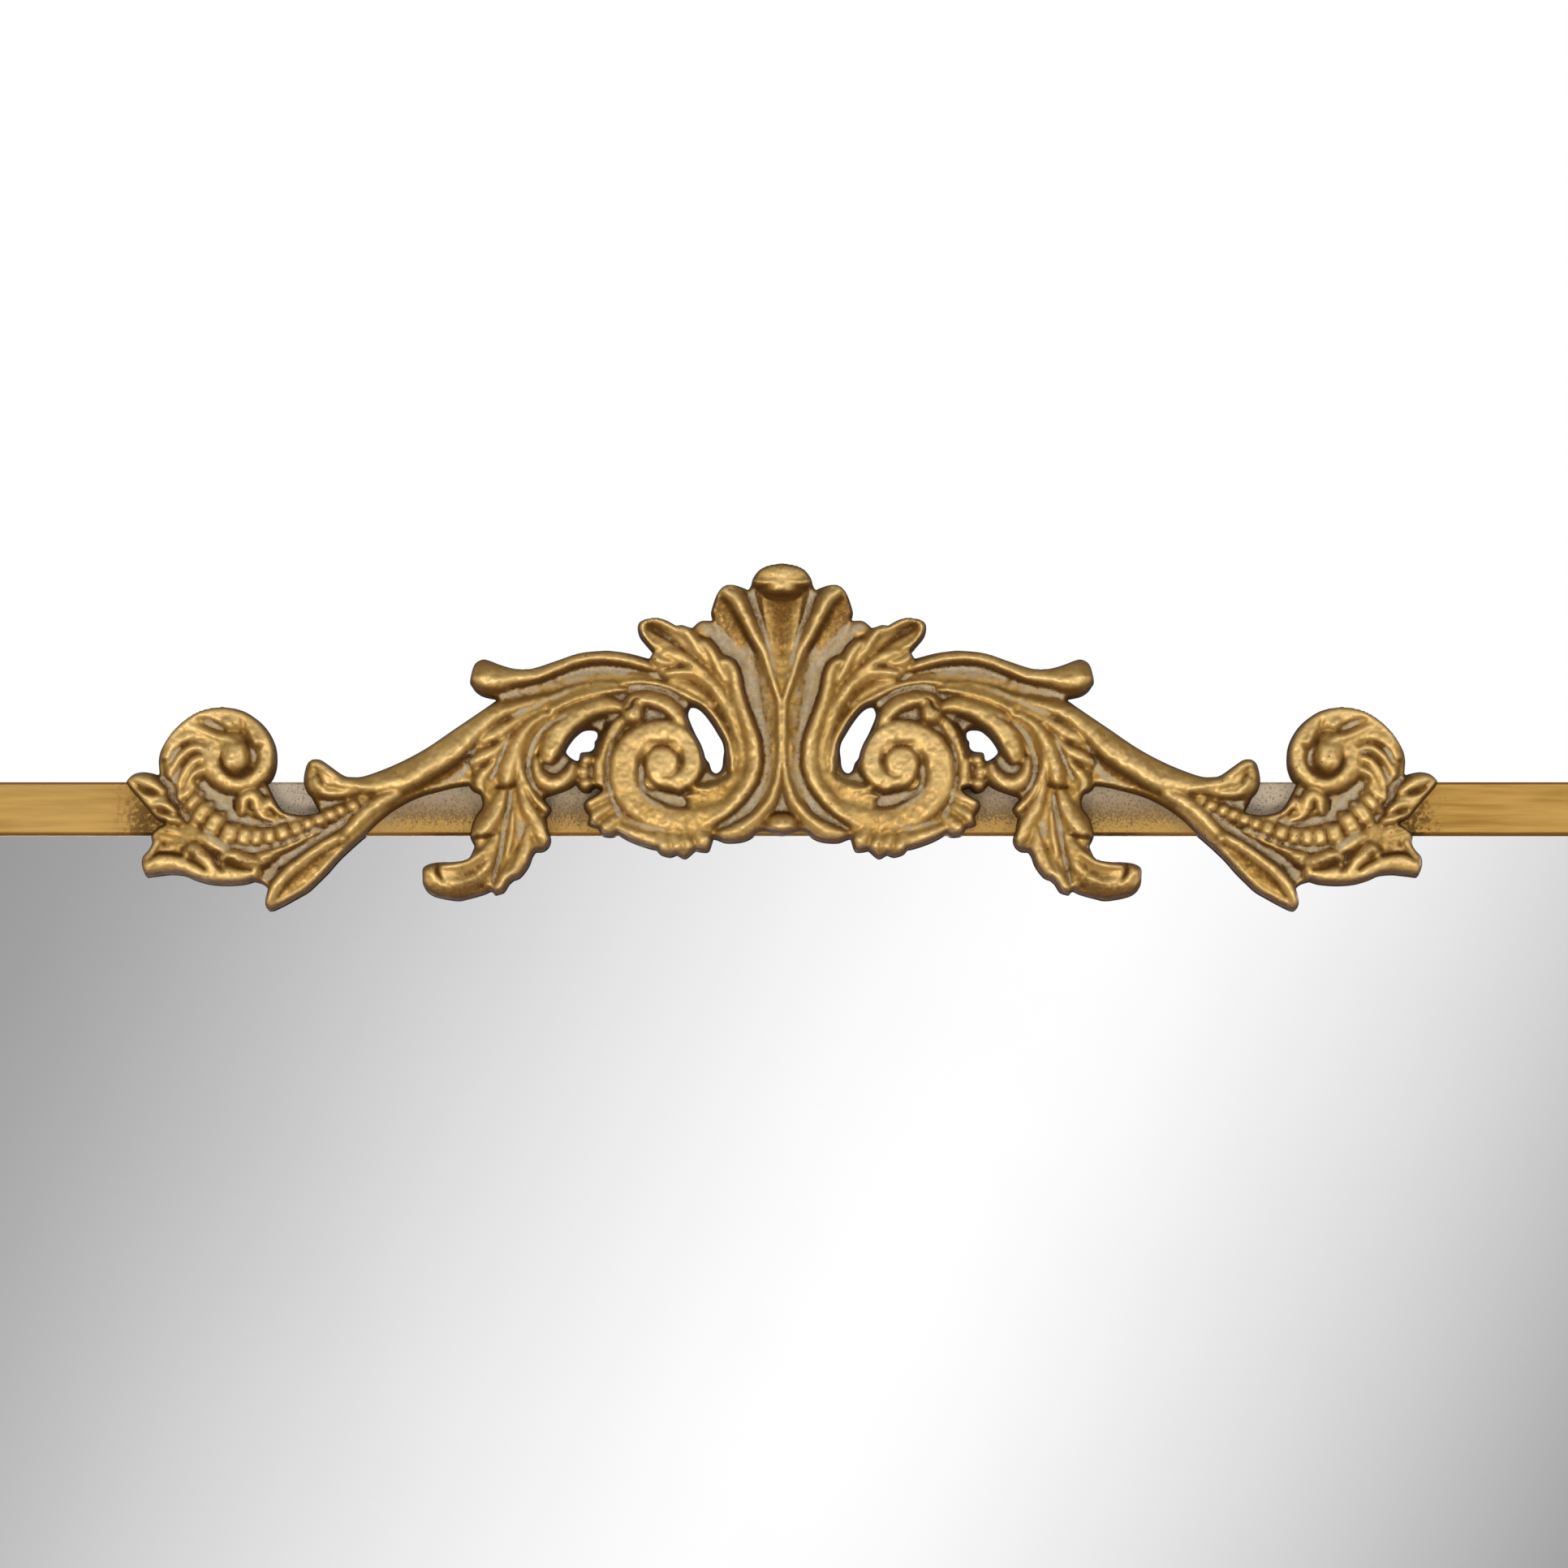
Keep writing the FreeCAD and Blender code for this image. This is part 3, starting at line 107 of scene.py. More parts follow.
def mixed(tree, factor, first, second, blend_type="MIX"):
    """Two colours mixed by a factor."""
    node = add(tree, "Mix", data_type="RGBA", blend_type=blend_type)
    for place, value in ((0, factor), (6, first), (7, second)):
        if isinstance(value, bpy.types.NodeSocket):
            tree.links.new(value, node.inputs[place])
        else:
            node.inputs[place].default_value = value
    return node.outputs[2]


def own_place(tree):
    """Places in the object's own metres."""
    return add(tree, "TexCoord").outputs["Object"]


def grain(tree, place, scale, detail=4.0, roughness=0.55, stretch=(1, 1, 1), turn=(0, 0, 0)):
    """Noise in a place's own metres, drawn out along an axis where stretch is small."""
    laid = add(tree, "Mapping", {"Vector": place, "Scale": stretch, "Rotation": turn})
    sockets = {"Vector": laid.outputs[0], "Scale": scale, "Detail": detail, "Roughness": roughness}
    return add(tree, "TexNoise", sockets).outputs["Fac"]


def pitted(tree, height, strength, depth, under=None):
    """A normal that follows a height, over another normal if there is one."""
    sockets = {"Height": height, "Strength": strength, "Distance": depth}
    if under is not None:
        sockets["Normal"] = under
    return add(tree, "Bump", sockets).outputs[0]


def connect(tree, shader, **sockets):
    """Links outputs to the main shader, whose socket names are written with low lines."""
    for name, value in sockets.items():
        socket = shader.inputs[name.replace("_", " ")]
        if isinstance(value, bpy.types.NodeSocket):
            tree.links.new(value, socket)
        else:
            socket.default_value = value


def skinned(name, dark, light, clouds, rough_span, skin, strength, depth, tone_span=None, metal=0.0):
    """A plain finish: a cloudy tone between two colours and a fine skin, each from noise."""
    finish, tree, shader = new_finish(name)
    place = own_place(tree)
    cloudy = grain(tree, place, *clouds)
    tone = between(tree, cloudy, *tone_span) if tone_span else cloudy
    connect(tree, shader, Base_Color=mixed(tree, tone, dark, light), Metallic=metal,
            Roughness=between(tree, cloudy, 0.3, 0.7, *rough_span),
            Normal=pitted(tree, grain(tree, place, *skin), strength, depth))
    return finish


def placed(name, data):
    """A new object of the scene that shows some data."""
    item = bpy.data.objects.new(name, data)
    bpy.context.scene.collection.objects.link(item)
    return item


def meshed(name, shape):
    """A new object of the scene from built geometry."""
    data = bpy.data.meshes.new(name)
    shape.to_mesh(data)
    shape.free()
    return placed(name, data)


def dress(finish, *nodes):
    """Gives CAD nodes a finish in place of the one that they came with."""
    for name in nodes:
        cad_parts[name].data.materials.clear()
        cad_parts[name].data.materials.append(finish)


rail_low, rail_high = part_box("top_rail")
bar_edge = Vector((0, rail_low.y + bar_face * math.sin(lean), rail_high.z))
upright = Matrix.Rotation(lean, 4, "X")


def along_frame(tree):
    """Places on the frame as if it stood upright, from the middle of the top bar's front edge."""
    sockets = {"Vector": own_place(tree), "Rotation": (lean, 0, 0), "Location": -(upright @ bar_edge)}
    return add(tree, "Mapping", sockets).outputs[0]


def bar_gilding(name, stretch):
    """Brushed gold leaf whose strokes run along the bar, with wash and patina where the crest lies."""
    gold = shade(184, 144, 77)
    pale_gold = shade(192, 152, 86)
    deep_gold = shade(160, 120, 56)
    umber = shade(104, 76, 40)
    rust = shade(136, 90, 36)
    # The wash colour is kept pale: painted light against the shade that the crest casts on the bar
    wash = shade(210, 196, 174)
    wash_dark = shade(164, 143, 110)
    wash_brown = shade(128, 100, 60)
    finish, tree, shader = new_finish(name)
    place = along_frame(tree)
    split = add(tree, "SeparateXYZ", {0: place})
    side = figure(tree, "ABSOLUTE", split.outputs["X"])
    drop = figure(tree, "MULTIPLY", split.outputs["Z"], -1)
    from_side = figure(tree, "SUBTRACT", frame_wide / 2, side)
    from_foot = figure(tree, "SUBTRACT", frame_tall, drop)
    from_end = figure(tree, "MINIMUM", drop, from_foot)
    outer = figure(tree, "MINIMUM", from_side, from_end)

    # Brushed leaf, worn brown along the outer bevel and the inner edge
    strokes = grain(tree, place, 420, 5, 0.6, stretch)
    cloudy = grain(tree, place, 9, 3)
    worn = grain(tree, place, 160, 6, 0.7)
    colour = mixed(tree, between(tree, strokes, 0.3, 0.7), deep_gold, gold)
    colour = mixed(tree, between(tree, cloudy, 0.35, 0.7), colour, pale_gold)
    edge = between(tree, outer, 0, bevel_line, 0.75, 0)
    inner = between(tree, outer, bar_face - 1.6 * bevel_line, bar_face - bevel_line / 2)
    colour = mixed(tree, edge, colour, deep_gold)
    colour = mixed(tree, inner, colour, rust)

    # Brown patina on the front of the top bar, beside each end of the crest
    front = between(tree, split.outputs["Y"], bar_face * 0.6, bar_face * 0.3)
    top = figure(tree, "MULTIPLY", between(tree, drop, bar_face * 1.6, bar_face * 1.5), front)
    near = figure(tree, "ABSOLUTE", figure(tree, "SUBTRACT", side, patina_middle))
    patina = figure(tree, "MULTIPLY", between(tree, near, patina_spread, 0), top)
    patina = figure(tree, "MULTIPLY", patina, between(tree, drop, bar_face * 0.1, bar_face * 0.7, 0.55, 1))
    specks = grain(tree, place, 600, 5, 0.7)
    patches = figure(tree, "MULTIPLY", worn, 0.3)
    for spread, weight in ((cloudy, 0.3), (specks, 0.5), (patina, 0.14)):
        patches = figure(tree, "ADD", patches, figure(tree, "MULTIPLY", spread, weight))
    spots = between(tree, patches, 0.6, 0.68)
    colour = mixed(tree, figure(tree, "MULTIPLY", spots, patina), colour, umber)

    # Grey wash behind the crest, browner towards the middle, paler towards the top as painted light, with
    # gold that shows through in flecks
    behind = figure(tree, "MULTIPLY", between(tree, side, wash_reach, wash_reach - wash_fade), top)
    flecks = grain(tree, place, 1200, 6, 0.75)
    low_edge = between(tree, outer, bar_face * 0.45, bar_face * 0.95, 0, 0.2)
    fleck_mask = between(tree, figure(tree, "ADD", flecks, low_edge), 0.56, 0.68)
    washed = mixed(tree, between(tree, cloudy, 0.5, 0.8), wash, wash_dark)
    washed = mixed(tree, between(tree, side, wash_change, wash_change * 0.8), washed, wash_brown)
    # Paler towards the bar's top edge: painted light against the crest's shadow
    washed = mixed(tree, between(tree, outer, bar_face * 0.1, bar_face * 0.7, 0.5, 0), washed, wash)
    dots = grain(tree, place, 1100, 4, 0.7)
    washed = mixed(tree, between(tree, dots, 0.5, 0.62, 0, 0.45), washed, gold)
    washed = mixed(tree, between(tree, dots, 0.48, 0.38, 0, 0.65), washed, umber)
    washed = mixed(tree, fleck_mask, washed, gold)
    low_line = mixed(tree, between(tree, side, bar_face * 4, bar_face * 2), rust, wash_brown)
    washed = mixed(tree, inner, washed, low_line)
    colour = mixed(tree, behind, colour, washed)

    # Wash is dull where leaf is metal, and patina pits the face
    matte = figure(tree, "MULTIPLY", behind, figure(tree, "SUBTRACT", 1, fleck_mask))
    metal = figure(tree, "SUBTRACT", 1, figure(tree, "MULTIPLY", matte, 0.85))
    rough = between(tree, strokes, 0.3, 0.7, 0.34, 0.44)
    rough = figure(tree, "ADD", rough, figure(tree, "MULTIPLY", matte, 0.3))
    fine = pitted(tree, strokes, 0.12, stroke_depth)
    dent_strength = figure(tree, "ADD", 0.06, figure(tree, "MULTIPLY", patina, 0.4))
    dents = pitted(tree, worn, dent_strength, dent_depth, fine)
    connect(tree, shader, Base_Color=colour, Metallic=metal, Roughness=rough, Normal=dents)
    return finish


dress(bar_gilding("gold_leaf_rail", (0.06, 1, 1)), "top_rail", "bottom_rail")
dress(bar_gilding("gold_leaf_stile", (1, 1, 0.06)), "left_stile", "right_stile")

# Corner keys
# Die-cast zinc angles pushed into the mitred tube ends, hidden once the frame is together.
# They keep the dull, slightly cloudy grey skin of the mould.
sand_depth = 0.2 * mm
cast_zinc = skinned("cast_zinc", shade(132, 134, 136), shade(176, 178, 180), clouds=(60, 5),
                    rough_span=(0.42, 0.6), skin=(900, 3, 0.7), strength=0.25, depth=sand_depth, metal=0.9)
dress(cast_zinc, *(f"corner_key_{end}_{side}" for end in ("top", "bottom") for side in ("left", "right")))

# Screws
# Zinc-plated steel screws: corners, board clips, crest, hinges, feet and the wall strap's bracket.
# The plating is bright with a faint yellow cast and hair scratches from the driver.
scratch_depth = 0.1 * mm
screw_groups = ("corner_screws", "board_clip_screws", "crest_screws", "hinge_screws", "foot_screws",
                "strap_bracket_screws")


def zinc_plate():
    """Bright plating with a faint yellow cast."""
    finish, tree, shader = new_finish("zinc_plate")
    place = own_place(tree)
    cast = grain(tree, place, 180, 3)
    scratches = grain(tree, place, 1500, 4, 0.6, (1, 0.15, 0.15))
    colour = mixed(tree, between(tree, cast, 0.35, 0.65), shade(196, 196, 190), shade(208, 200, 170))
    connect(tree, shader, Base_Color=colour, Metallic=1.0,
            Roughness=between(tree, scratches, 0.35, 0.65, 0.24, 0.42),
            Normal=pitted(tree, scratches, 0.1, scratch_depth))
    return finish


dress(zinc_plate(), *screw_groups)

# Glass gasket and liner
# A black rubber channel beds the pane in the rebate, and white foam sheet cushions its back.
# Rubber is matte with talc traces, and the foam shows its closed cells.
skin_depth = 0.15 * mm
cell_depth = 0.3 * mm


def rubber(name, dark, light):
    """Matte rubber with a powdery bloom."""
    return skinned(name, dark, light, clouds=(90, 5, 0.6), tone_span=(0.4, 0.8), rough_span=(0.62, 0.82),
                   skin=(1400, 3, 0.7), strength=0.3, depth=skin_depth)


def foam():
    """White closed-cell foam."""
    finish, tree, shader = new_finish("foam_cells")
    place = own_place(tree)
    cells = add(tree, "TexVoronoi", {"Vector": place, "Scale": 900}).outputs["Distance"]
    connect(tree, shader, Base_Color=mixed(tree, cells, shade(214, 214, 210), shade(240, 240, 238)),
            Roughness=between(tree, cells, 0, 0.7, 0.7, 0.9),
            Normal=pitted(tree, cells, 0.4, cell_depth))
    return finish


dress(rubber("gasket_rubber", shade(22, 22, 23), shade(44, 44, 46)), "glass_gasket")
dress(foam(), "foam_liner")

# Mirror glass
# Four millimetre float glass, silvered and painted behind, with a ground edge.
# Its face is clean, with only the faintest film that blurs what it shows here and there.
def silvering():
    """Clear silvered glass with a trace of film."""
    finish, tree, shader = new_finish("silvered_glass")
    place = along_frame(tree)
    film = grain(tree, place, 5, 4)
    colour = mixed(tree, between(tree, film, 0.35, 0.7), shade(251, 251, 251), shade(248, 248, 248))
    rough = between(tree, film, 0.4, 0.8, 0.0, 0.02)
    connect(tree, shader, Base_Color=colour, Metallic=1.0, Roughness=rough)
    return finish


dress(silvering(), "mirror_glass")

# Backing board and its clips
# Grey millboard closes the back, held by spring-steel clips on the rear edge of the bars.
# The board shows pulp flecks and the sheen of pressing, and the clips are tumbled steel.
fibre_depth = 0.25 * mm
mark_depth = 0.1 * mm


def millboard():
    """Pressed grey board with flecks of pulp."""
    finish, tree, shader = new_finish("millboard")
    place = along_frame(tree)
    pulp = grain(tree, place, 700, 6, 0.75)
    fibres = grain(tree, place, 160, 5, 0.7, (1, 1, 0.2))
    cloudy = grain(tree, place, 6, 3)
    colour = mixed(tree, between(tree, cloudy, 0.3, 0.7), shade(118, 114, 108), shade(132, 128, 121))
    colour = mixed(tree, between(tree, pulp, 0.58, 0.72), colour, shade(84, 80, 75))
    colour = mixed(tree, between(tree, fibres, 0.6, 0.75), colour, shade(152, 147, 138))
    connect(tree, shader, Base_Color=colour, Roughness=between(tree, pulp, 0.3, 0.7, 0.74, 0.9),
            Normal=pitted(tree, fibres, 0.35, fibre_depth))
    return finish


dress(millboard(), "backing_board")
tumble_marks = (500, 5, 0.7)
tumbled_steel = skinned("tumbled_steel", shade(120, 120, 124), shade(168, 169, 172), clouds=tumble_marks,
                        rough_span=(0.3, 0.5), skin=tumble_marks, strength=0.15, depth=mark_depth, metal=1.0)
dress(tumbled_steel, "board_clips")

# Access plugs
# Push-in black plastic caps over the holes through which the crest's screws are driven.
# Moulded satin plastic with a very fine spark-eroded texture.
spark_depth = 0.1 * mm


def moulded(name, dark, light, rough_span):
    """Injection-moulded plastic with a fine even texture."""
    return skinned(name, dark, light, clouds=(40, 3), rough_span=rough_span, skin=(2200, 2, 0.6),
                   strength=0.2, depth=spark_depth)


black_plastic = moulded("black_plastic", shade(24, 24, 25), shade(38, 38, 40), (0.4, 0.55))
dress(black_plastic, "access_plugs")

# Crest
# A cast resin ornament in one piece: acanthus leaves, two volutes and two branches that end in scrolls.
# It is screwed to the top bar from behind, gilded, darkened with umber in the creases and washed with grey.
# Shade is painted into its creases, undersides, steep flanks and rim, and highlights onto its ridges and
# crowns.
# Every place is read from the photograph in its own pixels, left half only, and mirrored about the middle.
crest_wide = 489 * mm
middle_px = 963.5
crest_left_px = 156.4
bar_top_px = 964
pixel = crest_wide / (2 * (middle_px - crest_left_px))

# Heights and depths on the map are in millimetres, from the casting's flat back
rim_height = 2.6
ground = 6.6
edge_bead = 2.4
edge_bead_px = 8
hammer_depth = 0.09
ripple_depth = 0.17
hammer_px = 1.8
ripple_px = 5
mould_px = 1.2
full_rise = 3
edge_round_px = 5.5
gap_round_px = 7.5
edge_fullness = 0.5
gap_fullness = 0.75

# Each fill holds a blur in pixels and how far below the blurred surface a gap stays
gap_fills = ((9, 1.6), (5, 1.1), (2.5, 0.6))
filled_px = 0.7

# The mesh, the painted shade on the casting's bare back, and how deep the gilding is beaten and speckled
mesh_step_px = 1.9
margin_px = 8
rim_rounds = 6
relaxed_rings = 4
relaxed_times = 20
relaxed_share = 0.5
middle_reach_px = mesh_step_px / 4
join_reach_px = mesh_step_px / 10
sharp_turn = math.radians(75)
wall_and_back_shade = 0.6
beaten_depth = 0.7 * mm
speckle_depth = 0.25 * mm

# The outline in stretches that meet in corners, and the two openings
outline_px = [
    [(963.5, 695), (955, 696), (945, 698), (935, 703), (928, 712), (925, 722), (922, 727)],
    [(922, 727), (915, 724), (905, 721), (893, 722), (884, 731), (877, 750), (876, 758), (878, 764)],
    [(878, 765), (865, 765), (858, 769), (853, 774)],
    [(853, 774), (846, 772), (840, 770), (833, 771)],
    [(833, 771), (820, 764), (808, 761.6), (793, 764), (787, 768), (785.6, 776), (788, 785), (793, 792),
     (799, 799), (804, 805)],
    [(804, 805), (800, 812)],
    [(800, 812), (778, 806), (760, 803), (743.6, 802), (714.5, 805), (685.5, 814.5), (660, 823), (647, 825),
     (632.7, 824), (618, 820), (603.6, 814.5), (596.4, 812.7), (590, 814.5), (583.6, 821), (579, 840),
     (582, 847), (587, 853.6), (596, 859), (612.7, 862.7)],
    [(612.7, 862.7), (596, 874.5), (560, 899), (523.6, 923.6), (487, 942.7), (451, 956.4), (433.6, 958),
     (422.7, 955.5), (404.5, 942.7), (395.5, 937), (388, 936), (382.7, 938), (378, 943.6), (374.5, 962),
     (378, 976), (384.5, 984)],
    [(384.5, 984), (394, 1002)],
    [(394, 1002), (384, 1004), (370, 1005), (352, 1001), (342, 990), (330, 967)],
    [(330, 967), (336, 962), (341, 949), (342, 934.5), (340, 920), (333.6, 905.5), (324.5, 893.6),
     (313.6, 884.5), (301, 877), (286, 873), (272, 872), (255.5, 874.5), (241, 880), (226, 890),
     (213.6, 902), (204.5, 914.5), (198, 927), (196, 938), (196.4, 945.5), (197, 955)],
    [(197, 956), (186, 953), (175.5, 952), (165.5, 954.5), (158, 961), (156.4, 965.5), (161, 972.7),
     (172, 985.5), (184.5, 1000), (193.6, 1010), (204.5, 1015.5)],
    [(204.5, 1015.5), (197, 1020), (190, 1026), (187, 1032)],
    [(187, 1032), (188, 1040), (184, 1048), (177, 1056), (175.5, 1064), (177, 1072), (181, 1081)],
    [(181, 1081), (195.5, 1079), (212, 1077.5), (228, 1079), (241, 1084.5), (259, 1089.5), (280, 1091),
     (301, 1089.5), (313.6, 1086)],
    [(313.6, 1086), (324.5, 1089.5), (331, 1095.5)],
    [(331, 1095.5), (328, 1109), (328, 1116), (331, 1121.5), (337, 1122), (350, 1116), (364.5, 1108),
     (380, 1099), (392, 1088), (404.5, 1075.5), (419, 1059), (437, 1042), (452, 1029)],
    [(452, 1029), (466, 1015), (482, 1002), (500, 991), (520, 982), (545, 975), (562, 971), (578, 969)],
    [(578, 969), (582, 975), (592, 980)],
    [(592, 980), (594.5, 988), (593.6, 996), (587, 1005.5), (582.7, 1014.5), (579.5, 1029), (581, 1036),
     (584.5, 1042), (584.5, 1046)],
    [(584.5, 1046), (577, 1059), (560, 1062.7), (545, 1063), (530.5, 1065), (522, 1070), (521, 1078),
     (523, 1093.6), (535, 1104), (562.6, 1109.5), (578, 1107), (596, 1102), (604.5, 1098)],
    [(604.5, 1098), (607, 1099), (610, 1103)],
    [(610, 1103), (620, 1100), (623.6, 1096), (628, 1089), (633, 1084.5)],
    [(633, 1084.5), (640, 1082), (647, 1074.5), (652.7, 1065.5), (656, 1056), (660, 1049.5)],
    [(660, 1049.5), (667, 1049.5), (672.7, 1047), (677, 1042), (679, 1033.6), (676, 1023.6), (673.6, 1009)],
    [(673.6, 1009), (679, 1002), (680, 997)],
    [(680, 997), (672, 985), (684, 980), (700, 974), (710, 968)],
    [(710, 968), (716, 976), (726, 978), (733, 972), (741, 974)],
    [(741, 974), (735, 980), (728, 984), (722, 987), (719, 993), (721, 1000), (726, 1006)],
    [(726, 1006), (725, 1013), (724, 1017), (729, 1020), (737, 1022)],
    [(737, 1022), (741, 1029), (748, 1031), (756, 1031), (761, 1028)],
    [(761, 1028), (775, 1036), (790, 1042), (803, 1046), (809, 1047)],
    [(809, 1047), (813, 1052), (820, 1055), (827, 1056), (834, 1053)],
    [(834, 1053), (837, 1055), (843, 1058), (848, 1056), (857, 1048)],
    [(857, 1048), (864, 1049.5), (872, 1049.6), (875, 1046), (877, 1040), (879, 1033)],
    [(879, 1033), (885, 1035), (893, 1038), (902, 1038.5), (915, 1037), (925, 1033), (932, 1027)],
    [(932, 1027), (938, 1025), (945, 1025), (955, 1028), (963.5, 1029.6)],
]
upper_gap_px = [
    (850, 874), (853, 872), (860, 874), (868, 881), (877, 893), (885, 906), (890, 915), (892, 925),
    (891, 935), (890, 945), (887, 951), (882, 953.5), (877, 950), (874, 941), (869.5, 935), (867, 926),
    (863, 916), (857.5, 906), (853, 896), (849, 886), (848, 880)
]
lower_gap_px = [
    (698, 925), (705.5, 913), (713, 905.5), (720, 901), (731, 900.4), (736, 903.6), (735.5, 911),
    (732.7, 914.5), (732.4, 921), (729, 925.5), (723.6, 927), (717, 927.6), (714.5, 930), (712.7, 938),
    (706, 936), (699, 930)
]


def through(rows, spacing=2.5, closed=False):
    """Points at an even spacing on a smooth line through rows, whose other columns change along it."""
    rows = np.array(rows, float)
    if closed:
        knots = np.vstack([rows[-1:], rows, rows[:2]])
    else:
        knots = np.vstack([2 * rows[:1] - rows[1:2], rows, 2 * rows[-1:] - rows[-2:-1]])
    line = []
    for before, start, end, after in zip(knots[:-3], knots[1:-2], knots[2:-1], knots[3:]):
        count = max(2, int(np.hypot(*(end - start)[:2]) / spacing))
        share = np.linspace(0, 1, count, endpoint=False)[:, None]
        turn = (2 * before - 5 * start + 4 * end - after) * share ** 2
        twist = (3 * start - before - 3 * end + after) * share ** 3
        line.append((2 * start + (end - before) * share + turn + twist) / 2)
    if not closed:
        line.append(knots[-2:-1])
    return np.vstack(line)


outline = np.vstack([through(stretch)[:-1] for stretch in outline_px])
outline = np.vstack([outline, outline_px[-1][-1:]])
edges_px = [outline]
for gap_px in (upper_gap_px, lower_gap_px):
    gap = through(gap_px, closed=True)
    edges_px.append(np.vstack([gap, gap[:1]]))

left_px = int(crest_left_px) - margin_px
top_px = int(outline[:, 1].min()) - margin_px
columns = np.arange(left_px, int(middle_px) + margin_px, dtype=float)
lines = np.arange(top_px, outline[:, 1].max() + margin_px)
across, down = np.meshgrid(columns, lines)


def window(points, reach):
    """The part of the map that lies within reach of some points."""
    low = np.floor(points.min(0) - reach).astype(int) - (left_px, top_px)
    high = np.ceil(points.max(0) + reach).astype(int) - (left_px, top_px) + 1
    low = np.maximum(low, 0)
    return slice(low[1], max(high[1], 0)), slice(low[0], max(high[0], 0))


def within(polygon):
    """Which places on the map lie inside a closed line."""
    found = np.zeros(across.shape, bool)
    for (x, y), (next_x, next_y) in zip(polygon, np.roll(polygon, -1, axis=0)):
        if y == next_y:
            continue
        crossed = (down > min(y, next_y)) & (down <= max(y, next_y))
        rows = crossed[:, 0]
        meets = x + (down[rows] - y) * (next_x - x) / (next_y - y)
        found[rows] ^= across[rows] < meets
    return found


def to_line(line, reach):
    """How far each place is from a line, up to a reach."""
    away = np.full(across.shape, float(reach))
    for start, end in zip(line[:-1, :2], line[1:, :2]):
        spot = window(np.array([start, end]), reach)
        run = end - start
        off_x = across[spot] - start[0]
        off_y = down[spot] - start[1]
        share = np.clip((off_x * run[0] + off_y * run[1]) / max(run @ run, 1e-9), 0, 1)
        gap = np.hypot(off_x - share * run[0], off_y - share * run[1])
        away[spot] = np.minimum(away[spot], gap)
    return away


def softened(field, spread):
    """A map blurred by a bell curve of that spread in pixels."""
    reach = int(3 * spread + 1)
    weights = np.exp(-0.5 * (np.arange(-reach, reach + 1) / spread) ** 2)
    weights /= weights.sum()
    for axis in (0, 1):
        padding = [(reach, reach) if axis == place else (0, 0) for place in (0, 1)]
        padded = np.pad(field, padding, mode="edge")
        length = field.shape[axis]
        field = sum(weight * padded.take(range(start, start + length), axis)
                    for start, weight in enumerate(weights))
    return field


relief = np.full(across.shape, ground)
# Umber strokes: the antiquing's umber, and in some strokes painted shadow under overhangs and in deep
# hollows
umber_and_shadow = np.zeros(across.shape)
veil = np.zeros(across.shape)


def along(rows):
    """Each short run of a stroke: its part of the map, how far off it lies in half widths, and its level.

    Rows hold x, y and half width in pixels, and a level that changes along the stroke.
    """
    line = through(rows)
    for start, end in zip(line[:-1], line[1:]):
        spot = window(np.array([start[:2], end[:2]]), max(start[2], end[2]) + 1)
        run = (end - start)[:2]
        off_x = across[spot] - start[0]
        off_y = down[spot] - start[1]
        share = np.clip((off_x * run[0] + off_y * run[1]) / max(run @ run, 1e-9), 0, 1)
        wide = start[2] + share * (end[2] - start[2])
        level = start[3] + share * (end[3] - start[3])
        side = np.sign(run[0] * off_y - run[1] * off_x)
        yield spot, side * np.hypot(off_x - share * run[0], off_y - share * run[1]) / wide, level


def model(*strokes, power=2.0, fall=0.5, tilt=0.0, base=ground):
    """Strokes of clay, with their crown in millimetres.

    Power flattens the crown, fall slackens the flanks, and tilt moves the crown to one side of the line.
    """
    for rows in strokes:
        for spot, place, crown in along(rows):
            slope = np.where(place < tilt, (tilt - place) / (1 + tilt), (place - tilt) / (1 - tilt))
            rise = np.clip(1 - slope ** power, 0, 1) ** fall
            relief[spot] = np.maximum(relief[spot], base + (crown - base) * rise)


def hollow(*strokes):
    """Presses furrows one after another, with their depth in millimetres."""
    for rows in strokes:
        depth = np.zeros(across.shape)
        for spot, place, deep in along(rows):
            depth[spot] = np.maximum(depth[spot], deep * np.clip(1 - place ** 2, 0, 1))
        relief[...] -= depth


def brush(coat, *strokes):
    """Strokes a coat on with a strength from 0 to 1: umber, which some strokes use for painted shadow, and
    grey wash.
    """
    for rows in strokes:
        for spot, place, strength in along(rows):
            coat[spot] = np.maximum(coat[spot], strength * np.clip(1 - place ** 2, 0, 1))


def cushion(*lumps, power=2.4, base=ground):
    """Rounded lumps: middle, half length and half width in pixels, turn in degrees, and crown."""
    for x, y, long, wide, turn, crown in lumps:
        angle = math.radians(turn)
        spot = window(np.array([[x, y]], float), max(long, wide) + 1)
        off_x = across[spot] - x
        off_y = down[spot] - y
        share_long = np.abs(off_x * math.cos(angle) + off_y * math.sin(angle)) / long
        share_wide = np.abs(off_y * math.cos(angle) - off_x * math.sin(angle)) / wide
        rise = np.clip(1 - share_long ** power - share_wide ** power, 0, 1) ** 0.5
        relief[spot] = np.maximum(relief[spot], base + (crown - base) * rise)


def block(*forms):
    """Blocks in forms: crown in millimetres, softness of the edge in pixels, and a closed line."""
    for crown, soft, spots in forms:
        form = softened(within(through(spots, closed=True)).astype(float), soft)
        relief[...] = np.maximum(relief, ground + (crown - ground) * form)


